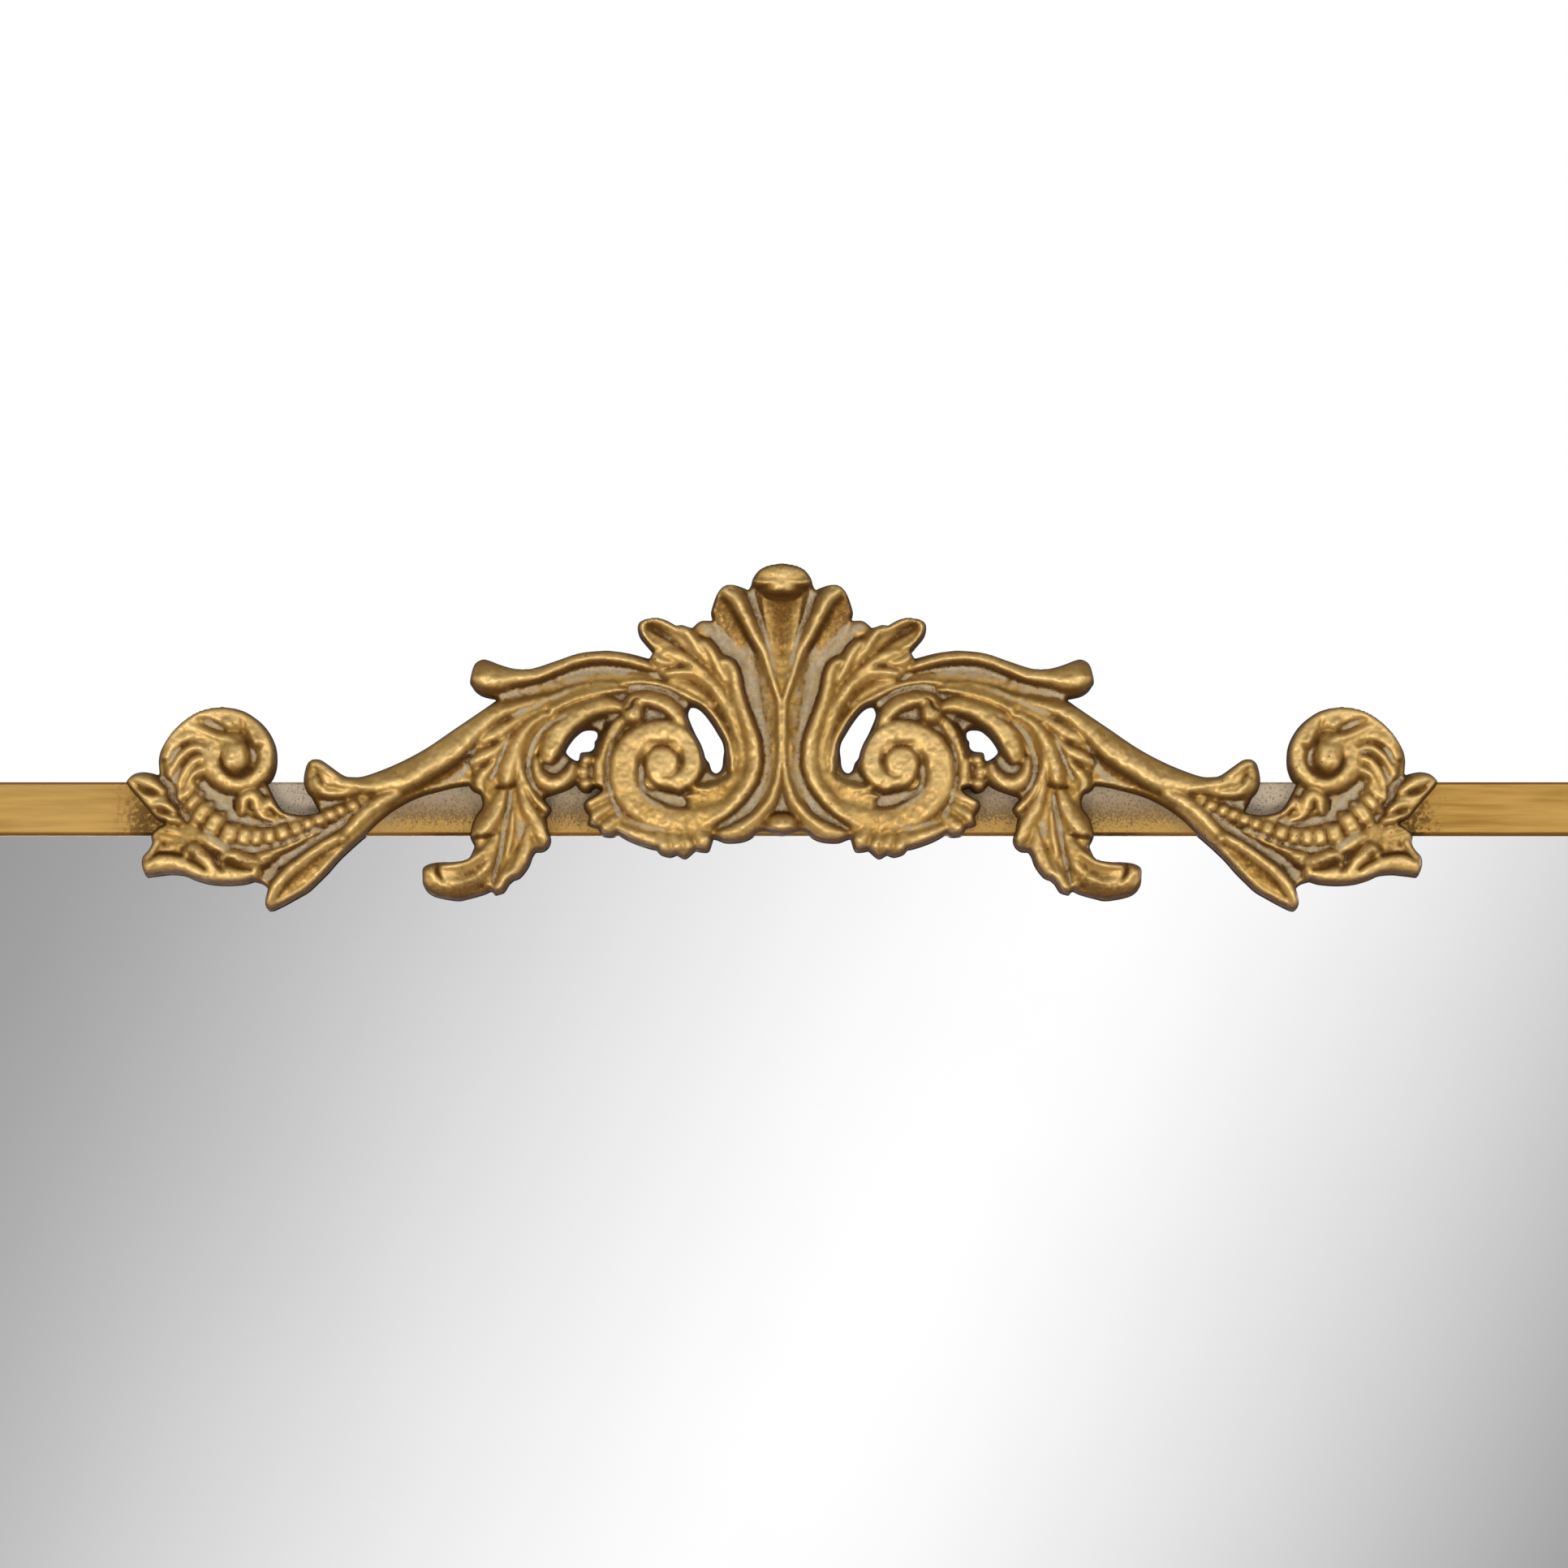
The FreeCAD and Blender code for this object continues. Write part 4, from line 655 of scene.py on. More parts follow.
# The forms under the leaves and scrolls, as the modeller blocked them in
upper_leaf_form_px = (11.8, 3, [
    (786, 775), (800, 763), (833, 770), (852, 775), (868, 790), (886, 806), (905, 818), (911, 845),
    (925, 885), (937, 920), (937, 958), (923, 983), (904, 1003), (879, 1019), (862, 1014), (886, 996),
    (903, 965), (904, 925), (893, 890), (874, 858), (850, 842), (824, 841), (806, 822), (792, 795)
])
frond_form_px = (11, 3, [
    (598, 906), (640, 890), (690, 874), (684, 895), (662, 932), (652, 960), (664, 984), (678, 999),
    (671, 1016), (676, 1036), (664, 1047), (653, 1050), (645, 1072), (630, 1085), (610, 1100), (596, 1092),
    (600, 1062), (588, 1046), (583, 1028), (592, 1008), (599, 990), (590, 974), (588, 955), (588, 925)
])
arch_form_px = (9, 4, [
    (592, 868), (615, 862), (645, 848), (680, 838), (720, 830), (770, 828), (806, 834), (800, 845),
    (760, 850), (715, 856), (682, 872), (645, 894), (604, 908), (578, 915)
])
arm_form_px = (9, 3, [
    (470, 975), (520, 960), (560, 935), (590, 905), (598, 925), (588, 950), (590, 975), (560, 974),
    (520, 984), (490, 998)
])
end_scroll_form_px = (12, 3, [
    (203, 935), (213, 908), (240, 887), (272, 877), (302, 883), (326, 903), (336, 930), (328, 957),
    (308, 972), (282, 972), (262, 960), (244, 966), (226, 980), (212, 966)
])
jaw_form_px = (11, 3, [
    (184, 1076), (190, 1058), (206, 1038), (226, 1018), (242, 1016), (262, 1034), (290, 1048), (320, 1052),
    (352, 1046), (344, 1058), (328, 1070), (315, 1084), (290, 1088), (258, 1086), (230, 1077), (205, 1077)
])
blade_form_px = (10.4, 2, [
    (334, 1116), (344, 1092), (362, 1070), (390, 1048), (420, 1026), (450, 1003), (480, 983), (500, 972),
    (474, 1003), (446, 1030), (420, 1056), (392, 1084), (362, 1106)
])
end_leaf_form_px = (12, 2, [
    (162, 966), (176, 956), (190, 964), (202, 980), (214, 1000), (224, 1014), (206, 1010), (186, 996),
    (170, 980)
])
tuft_form_px = (11, 3, [
    (736, 990), (748, 982), (764, 1000), (790, 1014), (824, 1020), (860, 1018), (878, 1014), (878, 1036),
    (866, 1046), (846, 1052), (822, 1052), (800, 1042), (770, 1032), (748, 1026), (728, 1014)
])
scroll_foot_form_px = (11.4, 3, [
    (848, 990), (856, 972), (872, 966), (892, 962), (908, 944), (926, 945), (924, 972), (904, 1000),
    (872, 1014), (846, 1012)
])
stem_swell_px = [
    (940, 800, 16, 10.4), (950, 825, 22, 10.8), (956, 850, 26, 11), (960, 880, 27, 11), (960, 910, 25, 11),
    (959, 940, 22, 10.8), (954, 965, 20, 10.4), (944, 988, 16, 10), (932, 1005, 12, 9)
]
block(upper_leaf_form_px, frond_form_px, arch_form_px, arm_form_px, end_scroll_form_px, jaw_form_px,
      blade_form_px, end_leaf_form_px, tuft_form_px, scroll_foot_form_px)
model(stem_swell_px, power=1.6, fall=1)

# Middle leaf: top roll, hanging lip and the broad hammered tongue
top_roll_px = (963.5, 709, 40, 20, 0, 17.4)
lip_edge_px = [(929, 719, 5, 15.4), (940, 721, 6, 16.6), (952, 720, 6.5, 17.4), (963.5, 719, 7, 17.6)]
lip_px = (963.5, 727, 21, 11, 0, 18.4)
tongue_px = [
    (963.5, 735, 33, 12.8), (963.5, 760, 27, 12.6), (963.5, 790, 21, 12.4), (963.5, 820, 14, 12),
    (963.5, 845, 8, 11.4), (963.5, 864, 4, 11)
]
tongue_furrows_px = [
    [(963.5, 740, 25, 2), (963.5, 770, 20, 2), (963.5, 800, 14, 1.6), (963.5, 830, 8, 1)],
    [(937, 727, 3, 1), (944, 733, 3.5, 2.2), (953, 738.5, 3, 2.4), (963.5, 740, 3, 2.4)],
]
# Umber on the roll and the tongue, with painted shadow in the thin arc under the hanging lip
middle_leaf_umber_and_shadow_px = [
    [(932, 706, 14, 0.24), (963.5, 702, 14, 0.3)],
    [(936, 729, 4, 0.9), (942, 735, 4, 0.9), (950, 740, 3, 0.9), (963.5, 742, 3, 0.9)],
    [(963.5, 748, 24, 0.55), (963.5, 765, 20, 0.5), (963.5, 790, 14, 0.4), (963.5, 815, 9, 0.3)],
    [(937, 737, 4, 0.6), (940, 757, 4, 0.5), (944, 777, 3, 0.4), (949, 800, 3, 0.3)],
]
cushion(top_roll_px, power=2.3)
model(lip_edge_px)
cushion(lip_px, power=3)
model(tongue_px, power=6)
hollow(*tongue_furrows_px)
brush(umber_and_shadow, *middle_leaf_umber_and_shadow_px)

# Side lobe with its thin rim, hollow face and strong ridge, running into the stem and the foot curl
lobe_face_px = [(884, 742, 14, 10.6), (892, 757, 17, 10), (904, 776, 16, 9), (917, 800, 13, 8)]
lobe_rim_px = [
    (903, 724, 6, 14.4), (893, 725, 7, 14.4), (885, 732, 6, 13.6), (880, 744, 5, 12.8), (878, 757, 4, 11.4)
]
stem_px = [
    (890, 727, 9, 14.6), (900, 733, 12, 15.4), (909, 741, 13, 15.6), (916, 755, 12, 15.4),
    (924, 771, 11, 15), (933, 788, 10.5, 14.4), (942, 805, 9.5, 14), (948, 824, 8.5, 13.6),
    (954, 844, 8, 13.2), (960, 862, 8, 13), (963, 880, 9, 12.8), (963.5, 900, 10, 12.8),
    (963.5, 920, 9.5, 12.6), (962.5, 938, 8, 12.6), (960, 956, 7, 12.8), (956, 972, 8, 13),
    (951, 987, 9.5, 13.2), (942, 1001, 11, 13.4), (931, 1012, 11.5, 13.4), (918, 1021, 12, 13.2),
    (904, 1028, 12, 13), (892, 1030, 9, 12.2), (884, 1031, 6, 11)
]
foot_knob_px = (963.5, 1018, 22, 15, 0, 15.6)
small_lobe_px = (868, 779, 15, 14, 0, 9.8)
side_lobe_umber_px = [
    [(884, 746, 12, 0.45), (892, 760, 16, 0.45), (903, 778, 15, 0.4), (918, 800, 11, 0.3),
     (932, 824, 7, 0.25), (942, 850, 4, 0.15)],
    [(950, 1009, 2.5, 0.5), (957, 1004, 2.5, 0.6), (963.5, 1003, 2.5, 0.6)],
]
side_lobe_wash_px = [
    [(936, 830, 6, 0.3), (944, 860, 8, 0.35), (946, 890, 8, 0.35), (947, 920, 7, 0.35), (948, 950, 5, 0.3)],
    [(872, 772, 9, 0.4), (886, 782, 11, 0.45), (900, 800, 12, 0.45), (912, 822, 11, 0.5),
     (922, 850, 10, 0.5), (932, 880, 11, 0.48), (943, 915, 11, 0.42), (945, 950, 10, 0.44),
     (935, 985, 10, 0.5), (919, 1006, 10, 0.55), (899, 1018, 8, 0.5)],
    [(926, 735, 4, 1), (935, 760, 4, 1), (943, 785, 4, 0.9), (950, 812, 3.5, 0.8), (956, 838, 3, 0.5)],
    [(866, 772, 10, 0.5), (878, 782, 9, 0.6)],
    [(963.5, 962, 4, 0.8), (963.5, 980, 7, 1), (963.5, 996, 9, 0.9)],
]
model(lobe_face_px, power=3, fall=1)
model(lobe_rim_px)
model(stem_px, tilt=0.15, power=1.8)
cushion(foot_knob_px, power=2.4)
cushion(small_lobe_px, power=2)
brush(umber_and_shadow, *side_lobe_umber_px)
brush(veil, *side_lobe_wash_px)

# Upper leaf: rolled tip, three lobes, the wide scroll that they run into, and the inner folds
leaf_lobes_px = [
    [(790, 775, 6, 13.8), (797, 768, 7, 14.4), (808, 767, 7, 14.4), (820, 771, 7, 14),
     (832, 778, 7.5, 13.6), (843, 785, 8, 13.4)],
    [(790, 776, 6, 13.8), (795, 787, 7, 13.4), (804, 796, 7.5, 13), (816, 801, 7, 12.4)],
    [(836, 776, 6, 13.8), (845, 781, 9, 14.4), (854, 792, 10, 14.4), (863, 806, 9, 13.8),
     (873, 819, 8, 13)],
    [(862, 794, 6, 13.8), (871, 799, 10, 14.6), (879, 811, 10.5, 14.8), (886, 826, 9.5, 14.2),
     (894, 840, 9, 13.6)],
]
leaf_scroll_px = [
    (888, 819, 6, 13.8), (897, 822, 9.5, 14.8), (903, 836, 10.5, 15), (907, 857, 10.5, 15),
    (913, 877, 11, 15.2), (920, 897, 12, 15.4), (926, 917, 12.5, 15.4), (927.5, 938, 12.5, 15.2),
    (924.5, 958, 12.5, 15), (915, 975, 13, 14.4), (902, 990, 13, 13.8), (887, 1002, 13, 13.2),
    (872, 1012, 11, 12.6)
]
inner_fold_px = [
    (820, 806, 8, 12.8), (838, 811, 11, 13.2), (855, 822, 11, 13.2), (870, 836, 10.5, 13.2),
    (884, 852, 10, 13.2), (895, 870, 9.5, 13.2), (904, 890, 8.5, 13), (910, 908, 7.5, 12.8),
    (914, 925, 7, 12.4), (915, 942, 6, 12)
]
inner_ribs_px = [
    [(806, 811, 7, 12.6), (814, 817, 8.5, 13), (826, 820, 8, 12.4)],
    [(822, 833, 6.5, 12.8), (840, 830, 7.5, 13), (856, 832, 7.5, 13), (870, 842, 7, 13), (884, 857, 7, 13),
     (895, 873, 6.5, 12.8), (903, 890, 6, 12.6), (908, 906, 5.5, 12.4)],
]
upper_leaf_wash_px = [(806, 779, 6, 0.4), (820, 787, 6, 0.4), (836, 798, 4, 0.3)]
upper_leaf_umber_px = [(803, 777, 6, 0.3), (820, 787, 6, 0.35), (840, 801, 5, 0.3)]
model(*leaf_lobes_px)
model(leaf_scroll_px, power=2.4, tilt=-0.42)
model(inner_fold_px, power=2.6)
model(*inner_ribs_px)
brush(veil, upper_leaf_wash_px)
brush(umber_and_shadow, upper_leaf_umber_px)

# Thin ridges that follow the upper gap, and the small torn tongues beside the volute
gap_ridges_px = [
    [(828, 842, 7, 10.8), (846, 848, 8, 11.2), (862, 858, 8, 11.4), (877, 872, 7, 11.4)],
    [(757, 847, 3.5, 9.6), (778, 842, 4, 10), (800, 843, 4.5, 10.4), (820, 847, 5, 11), (840, 856, 6, 11.8),
     (855, 864, 6.5, 12.2), (868, 873, 7, 12.4), (880, 885, 7.5, 12.4), (890, 901, 7.5, 12.4),
     (898, 918, 7, 12.2), (902, 936, 6.5, 12), (902, 950, 5, 11.6)],
]
torn_tongues_px = [
    [(850, 972, 4, 12), (860, 974, 5, 12.6), (872, 976, 5, 12.6), (884, 972, 4, 12.2)],
    [(846, 984, 4, 12), (858, 982, 4, 12.4), (870, 985, 4, 12.2)],
]
model(*gap_ridges_px)
model(*torn_tongues_px)

# Volute: one broad ribbon that rolls inwards to the flat coil in its middle
ribbon_px = [
    (890, 1000, 13, 12.8), (870, 1010, 15, 12.6), (846, 1013, 17, 12.6), (821, 1011, 18, 12.6),
    (800, 1003, 19, 12.8), (783, 990, 19.5, 12.8), (772, 972, 20, 13), (769, 952, 20, 13.2),
    (772, 934, 19, 13.4), (781, 919, 18, 13.6), (795, 909, 17, 13.8), (812, 904, 17, 14.2),
    (829, 906, 16, 14.4), (843, 914, 15, 14.6), (852, 928, 15, 14.8), (854, 944, 15, 15),
    (848, 958, 15, 15.2), (836, 966, 14, 15.4)
]
coil_px = (817, 947, 26, 31, 0, 15.6)
coil_furrow_px = [
    (848, 981, 2, 0.8), (836, 980, 3, 1.6), (822, 979, 4, 2.4), (808, 973, 4, 2.8), (797, 961, 3.5, 2.8),
    (793.5, 947, 3, 2.8), (796, 934, 3, 2.6), (804, 925, 3, 2.4), (815, 921.5, 3, 2.2),
    (827, 924.5, 3, 2.2), (836, 933, 3, 2.2), (838.5, 944, 3, 2.2), (834, 954, 3, 2), (825, 960, 2.5, 1.4),
    (819, 959, 1.5, 0.6)
]
model(ribbon_px, power=5)
cushion(coil_px, power=5)
hollow(coil_furrow_px)

# Curl that rises over the volute, with its ball, and the thin band outside the volute
curl_px = [
    (774, 869, 8, 12.8), (781, 864, 10, 13.6), (792, 863, 11, 13.8), (805, 864, 12, 13.8),
    (819, 869, 12.5, 13.8), (831, 878, 12, 13.8), (840, 889, 10, 13.6), (845, 900, 6, 12.8)
]
curl_ball_px = (780, 881, 16, 16, 0, 15.2)
outer_band_px = [
    (764, 893, 9, 11.8), (752, 908, 10, 12), (744, 924, 9.5, 12), (740, 942, 8.5, 11.8),
    (739, 960, 8.5, 11.8), (741, 976, 8, 11.4), (747, 992, 7.5, 11), (756, 1006, 6, 10.6)
]
curl_umber_px = [(776, 880, 13, 0.3), (786, 883, 13, 0.3)]
curl_wash_px = [
    [(798, 884, 6, 1), (812, 888, 6, 1), (822, 893, 4, 0.7)],
    [(758, 900, 3, 0.6), (752, 925, 3, 0.8), (750, 955, 3, 0.8), (754, 985, 4, 0.8), (764, 1008, 4, 0.8)],
    [(775, 852, 5, 0.9), (800, 849, 5, 1), (825, 857, 5, 0.9), (847, 872, 4, 0.7)],
]
model(curl_px, tilt=0.3)
cushion(curl_ball_px, power=2.8)
model(outer_band_px, power=2.6)
brush(umber_and_shadow, curl_umber_px)
brush(veil, *curl_wash_px)

# Tufts and rim under the volute
tuft_base = 9
tufts_px = [
    [(750, 981, 7, 11.8), (739, 986, 8.5, 13), (729, 991, 9, 13.4)],
    [(752, 996, 7, 11.8), (741, 1002, 9, 13), (733, 1009, 9.5, 13.4)],
    [(765, 1009, 7, 11.8), (756, 1015, 9.5, 13), (748, 1021, 10.5, 13.4)],
    [(812, 1026, 6, 11.4), (815, 1036, 9.5, 12.8), (818, 1044, 11, 13.6)],
    [(830, 1026, 6, 11.4), (832, 1036, 9, 12.8), (835, 1044, 10, 13.4)],
    [(845, 1026, 6, 11.4), (846, 1036, 8, 12.6), (848, 1044, 9.5, 13.2)],
    [(857, 1020, 7, 11.4), (862, 1029, 10, 12.8), (867, 1037, 11.5, 13.6)],
]
under_rim_px = [(763, 1022, 7, 11.8), (777, 1026, 10.5, 12.6), (792, 1032, 11, 12.8), (806, 1037, 10, 12.4)]
volute_wash_px = [
    [(775, 1015, 4, 0.5), (800, 1022, 4, 0.6), (826, 1024, 3, 0.4)],
    [(791, 950, 4, 0.7), (790, 966, 5, 1), (797, 981, 7, 1), (811, 991, 7, 1), (826, 994, 6, 0.9),
     (840, 990, 5, 0.7)],
]
model(*tufts_px, base=tuft_base)
model(under_rim_px, base=tuft_base, power=3)
brush(veil, *volute_wash_px)

# Arch branch: rail with its club end, and the fine ridges of the band beneath
rail_px = [
    (584, 838, 5, 12), (592, 836, 17, 15), (602, 836, 20, 16), (614, 838, 18, 15.4), (630, 836, 14.5, 15),
    (647, 835, 12, 14.6), (660, 833, 11, 14.4), (673, 829, 10.5, 14.2), (687, 823, 10, 14),
    (705, 816, 9.5, 13.8), (723, 812, 9, 13.8), (742, 810.5, 9, 13.8), (760, 811.5, 9, 13.6),
    (778, 815, 9, 13), (795, 820, 8, 12), (806, 825, 5, 10.6)
]
band_ridge_px = [
    (760, 845, 5, 10.4), (735, 849, 9, 10.8), (705, 857, 11, 11.2), (680, 867, 11, 11.6), (655, 879, 9, 12),
    (632, 891, 7, 12.2)
]
band_fold_px = [
    (772, 852, 4, 11), (748, 854, 5.5, 11.6), (722, 860, 7, 12), (700, 867, 8, 12.4), (682, 876, 8, 12.8)
]
band_furrows_px = [
    [(770, 858, 2, 1), (742, 861, 2.5, 1.4), (715, 868, 2.5, 1.4), (694, 878, 2, 1)],
    [(744, 845, 2, 0.5), (712, 852, 2, 0.8), (684, 863, 2, 0.8), (656, 877, 2, 0.8), (632, 890, 2, 0.6)],
]
band_wash_px = [
    [(712, 852, 1.8, 0.5), (684, 863, 1.8, 0.6), (656, 877, 1.8, 0.6), (632, 890, 1.8, 0.5)],
    [(618, 868, 8, 0.55), (640, 856, 11, 0.5), (670, 846, 12, 0.42), (700, 838, 11, 0.42),
     (735, 830, 9, 0.42), (770, 830, 7, 0.5)],
    [(700, 852, 4, 0.4), (670, 866, 4, 0.4), (640, 880, 4, 0.5), (618, 890, 3, 0.45)],
]
band_umber_px = [
    (625, 858, 5, 0.15), (655, 846, 6, 0.2), (690, 834, 6, 0.2), (730, 823, 5, 0.2), (770, 824, 5, 0.2)
]
model(rail_px, tilt=0.35)
model(band_ridge_px, power=3)
model(band_fold_px)
hollow(*band_furrows_px)
brush(veil, *band_wash_px)
brush(umber_and_shadow, band_umber_px)

# Side branch: the long arm, its underside and its knob
arm_px = [
    (440, 970, 12, 13.4), (460, 968, 14, 13.8), (480, 965, 18, 14.2), (500, 959, 20.5, 14.8),
    (520, 948, 20, 15), (540, 936, 20, 15), (560, 922, 20, 15), (578, 906, 17.5, 15), (596, 891, 15, 14.6),
    (612, 880, 14, 14), (632, 873, 11.5, 13), (655, 866, 8.5, 12), (680, 859, 5, 10.6)
]
knob_px = (401, 962, 27, 26, 0, 14.8)
knob_roll_px = [
    (388, 944, 10, 14.6), (400, 948, 12, 15.4), (411, 958, 12, 15.6), (420, 967, 12, 15.4),
    (436, 970, 12, 15), (452, 972, 11, 14.6), (466, 974, 9, 14)
]
knob_under_px = [(398, 977, 9, 14), (412, 980, 9, 14.4), (428, 979, 8, 14.2), (446, 975, 6, 13.8)]
knob_furrows_px = [
    [(390, 946, 1.5, 0.6), (393, 957, 3, 1.6), (399, 968, 3, 1.6), (408, 974, 2, 1)],
    [(420, 958, 1.5, 0.6), (432, 962, 2, 1), (446, 964, 1.5, 0.6)],
]
# Umber in the knob's creases, with painted shade under the arm, in the corner where it meets the frond and
# along the knob's left edge
arm_umber_and_shade_px = [
    [(500, 985, 5, 0.3), (530, 970, 7, 0.4), (560, 952, 9, 0.45), (580, 935, 8, 0.4)],
    [(577, 971, 4, 1), (582, 976, 4, 1)],
    [(384, 965, 6, 0.3), (393, 957, 2, 0.4), (399, 968, 2, 0.4)],
]
arm_wash_px = [
    (520, 980, 4, 0.4), (545, 970, 5, 0.5), (570, 955, 6, 0.6), (584, 935, 5, 0.6), (588, 915, 3, 0.5)
]
model(arm_px, tilt=0.38)
cushion(knob_px, power=2.6)
model(knob_roll_px, power=2.2)
model(knob_under_px)
hollow(*knob_furrows_px)
brush(umber_and_shadow, *arm_umber_and_shade_px)
brush(veil, arm_wash_px)

# Leaf beside the lower gap, the hook that it curls into, and the links between hook and volute
gap_leaf_px = [
    (766, 874, 7, 11.8), (750, 871, 12, 12.8), (735, 873, 13, 13.2), (719, 879, 15, 13.6),
    (704, 888, 17, 14), (692, 900, 17.5, 14.4), (684, 913, 17, 14.6), (679, 925, 15, 14.6),
    (676, 935, 12, 14)
]
hook_px = [
    (661, 941, 8, 13), (664, 957, 11, 13.8), (676, 967, 13, 14.2), (690, 967, 13, 14.2), (702, 957, 11, 14),
    (706, 946, 7, 13)
]
hook_furrow_px = [(670, 944, 2, 0.8), (678, 949, 4, 2), (688, 950, 4, 2), (694, 945, 3, 1)]
links_px = [(722, 938, 12, 9, 0, 11.8), (719, 953, 10, 9, 0, 11.6), (722, 967, 12, 9, 0, 12)]
hook_wash_px = [(674, 947, 3, 0.7), (682, 950, 4, 1), (690, 948, 3, 0.8)]
hook_umber_px = [(716, 905, 10, 0.3), (745, 890, 10, 0.6), (742, 915, 8, 0.6), (738, 935, 6, 0.5)]
model(gap_leaf_px, power=2.6, tilt=-0.2)
model(hook_px)
hollow(hook_furrow_px)
cushion(*links_px, power=2)
brush(veil, hook_wash_px)
brush(umber_and_shadow, hook_umber_px)

# Lower frond: three fingers and the two blades of its middle
finger_form_px = (11.8, 3, [
    (590, 912), (612, 896), (640, 884), (634, 912), (621, 944), (608, 966), (598, 980), (588, 972),
    (583, 944)
])
fingers_px = [
    [(595, 915, 8, 12.8), (608, 909, 12, 13.6), (624, 900, 11, 13.4), (640, 890, 7, 12.6)],
    [(584, 941, 8, 12.8), (597, 935, 12, 13.8), (612, 928, 11, 13.6), (625, 916, 8, 13)],
    [(594, 977, 8, 12.8), (592, 964, 10, 13.4), (601, 952, 10, 13.4), (611, 940, 7, 13)],
]
finger_furrows_px = [
    [(589, 926, 2, 1), (602, 922, 3, 1.8), (617, 914, 2, 1)],
    [(588, 951, 2, 1), (598, 945, 3, 1.8), (609, 937, 2, 1)],
]
middle_blades_px = [
    [(670, 882, 6, 12.6), (654, 894, 9, 13.4), (641, 909, 11, 13.8), (633, 926, 12.5, 14.2),
     (628, 942, 13.5, 14.4), (625, 956, 13.5, 14.6), (624, 966, 11, 14.2)],
    [(622, 974, 8, 13.4), (616, 990, 12, 14), (609, 1004, 14, 14.4), (602, 1016, 15, 14.6),
     (595, 1026, 13, 14.2)],
]
blade_notches_px = [
    [(613, 972, 3, 1.4), (625, 972.5, 3, 2.2), (636, 969, 2.5, 1.6)],
    [(583, 1034, 3, 1.6), (595, 1034, 3, 2.2), (611, 1031, 3, 1.8)],
]
middle_blade_umber_px = [
    [(613, 973, 2.5, 0.6), (625, 973.5, 2.5, 0.7), (636, 970, 2.5, 0.6)],
    [(583, 1035, 3, 0.6), (595, 1034.5, 3, 0.7), (610, 1031.5, 2.5, 0.6)],
]
block(finger_form_px)
model(*fingers_px, power=2.4)
hollow(*finger_furrows_px)
model(*middle_blades_px, power=2.2, tilt=-0.3)
hollow(*blade_notches_px)
brush(umber_and_shadow, *middle_blade_umber_px)

# Curled tail of the frond
tail_px = [
    (614, 1034, 10, 12.6), (607, 1050, 15, 13), (595, 1066, 20, 13.6), (576, 1078, 24, 14),
    (555, 1084, 24, 14.2), (537, 1083, 19, 14), (529, 1080, 12, 13.4)
]
tail_furrow_px = [(600, 1062, 4, 0.8), (584, 1077, 6, 1.4), (564, 1083, 6, 1.2), (552, 1082, 4, 0.6)]
tail_fold_px = [
    (606, 1041, 5, 13.2), (594, 1055, 7, 14.8), (577, 1066, 8, 15.8), (560, 1070, 8, 16),
    (548, 1071, 7, 15.4)
]
tail_tip_furrow_px = [
    (540, 1066, 2.5, 1.6), (540, 1076, 3.5, 2.4), (545, 1085, 3, 1.6), (551, 1089, 2, 0.6)
]
tail_umber_px = [
    [(598, 1064, 4, 0.3), (582, 1078, 5, 0.4), (562, 1082, 4, 0.3)],
    [(540, 1068, 2, 0.6), (541, 1078, 2.5, 0.7), (546, 1086, 2, 0.5)],
    [(530, 1096, 9, 0.25), (552, 1099, 13, 0.36), (576, 1096, 15, 0.4), (598, 1086, 13, 0.36),
     (610, 1070, 9, 0.3), (612, 1050, 7, 0.25)],
]
model(tail_px, power=2.4, tilt=0.2)
hollow(tail_furrow_px)
model(tail_fold_px)
hollow(tail_tip_furrow_px)
brush(umber_and_shadow, *tail_umber_px)

# Leaves at the right of the frond, and the furrows between its parts
long_leaf_px = [
    (684, 880, 5, 12), (656, 897, 6.5, 12.8), (646, 915, 7.5, 13.2), (641, 934, 8, 13.4),
    (643, 953, 8.5, 13.6), (652, 973, 10.5, 13.8), (663, 989, 11, 13.8), (674, 1000, 8, 13)
]
pointed_leaf_px = [
    (640, 952, 6, 12.8), (643, 974, 9, 13.4), (649, 995, 11.5, 13.8), (659, 1014, 13.5, 14),
    (668, 1030, 13.5, 14), (674, 1039, 10, 13.4)
]
pointed_leaf_furrow_px = [(645, 966, 1.5, 0.8), (655, 987, 2.5, 1.8), (669, 1005, 2, 1.2)]
thin_rib_px = [(632, 1003, 5, 12.4), (632, 1020, 6, 12.8), (629, 1041, 6, 12.8), (625, 1057, 5, 12.2)]
low_leaf_px = [
    (652, 1026, 8, 12.4), (651, 1045, 13, 13.2), (644, 1062, 16, 13.6), (634, 1077, 16, 13.6),
    (625, 1087, 14, 13.4), (616, 1097, 9, 12.6)
]
frond_furrows_px = [
    [(640, 1044, 2, 0.8), (634, 1062, 3, 1.4), (626, 1078, 2, 0.8)],
    [(629, 977, 3, 1.2), (627, 1001, 4, 1.8), (622, 1024, 4, 1.8), (618, 1048, 4, 1.6),
     (613, 1071, 3.5, 1.4), (609, 1090, 3, 1)],
    [(628, 907, 2, 0.8), (621, 928, 3, 1.6), (613, 947, 3, 1.6), (604, 963, 3, 1.2)],
    [(698, 884, 2, 1), (668, 903, 4, 2), (656, 925, 4.5, 2.4), (652, 948, 5, 2.4), (657, 970, 5, 2.2),
     (668, 985, 4, 1.6)],
]
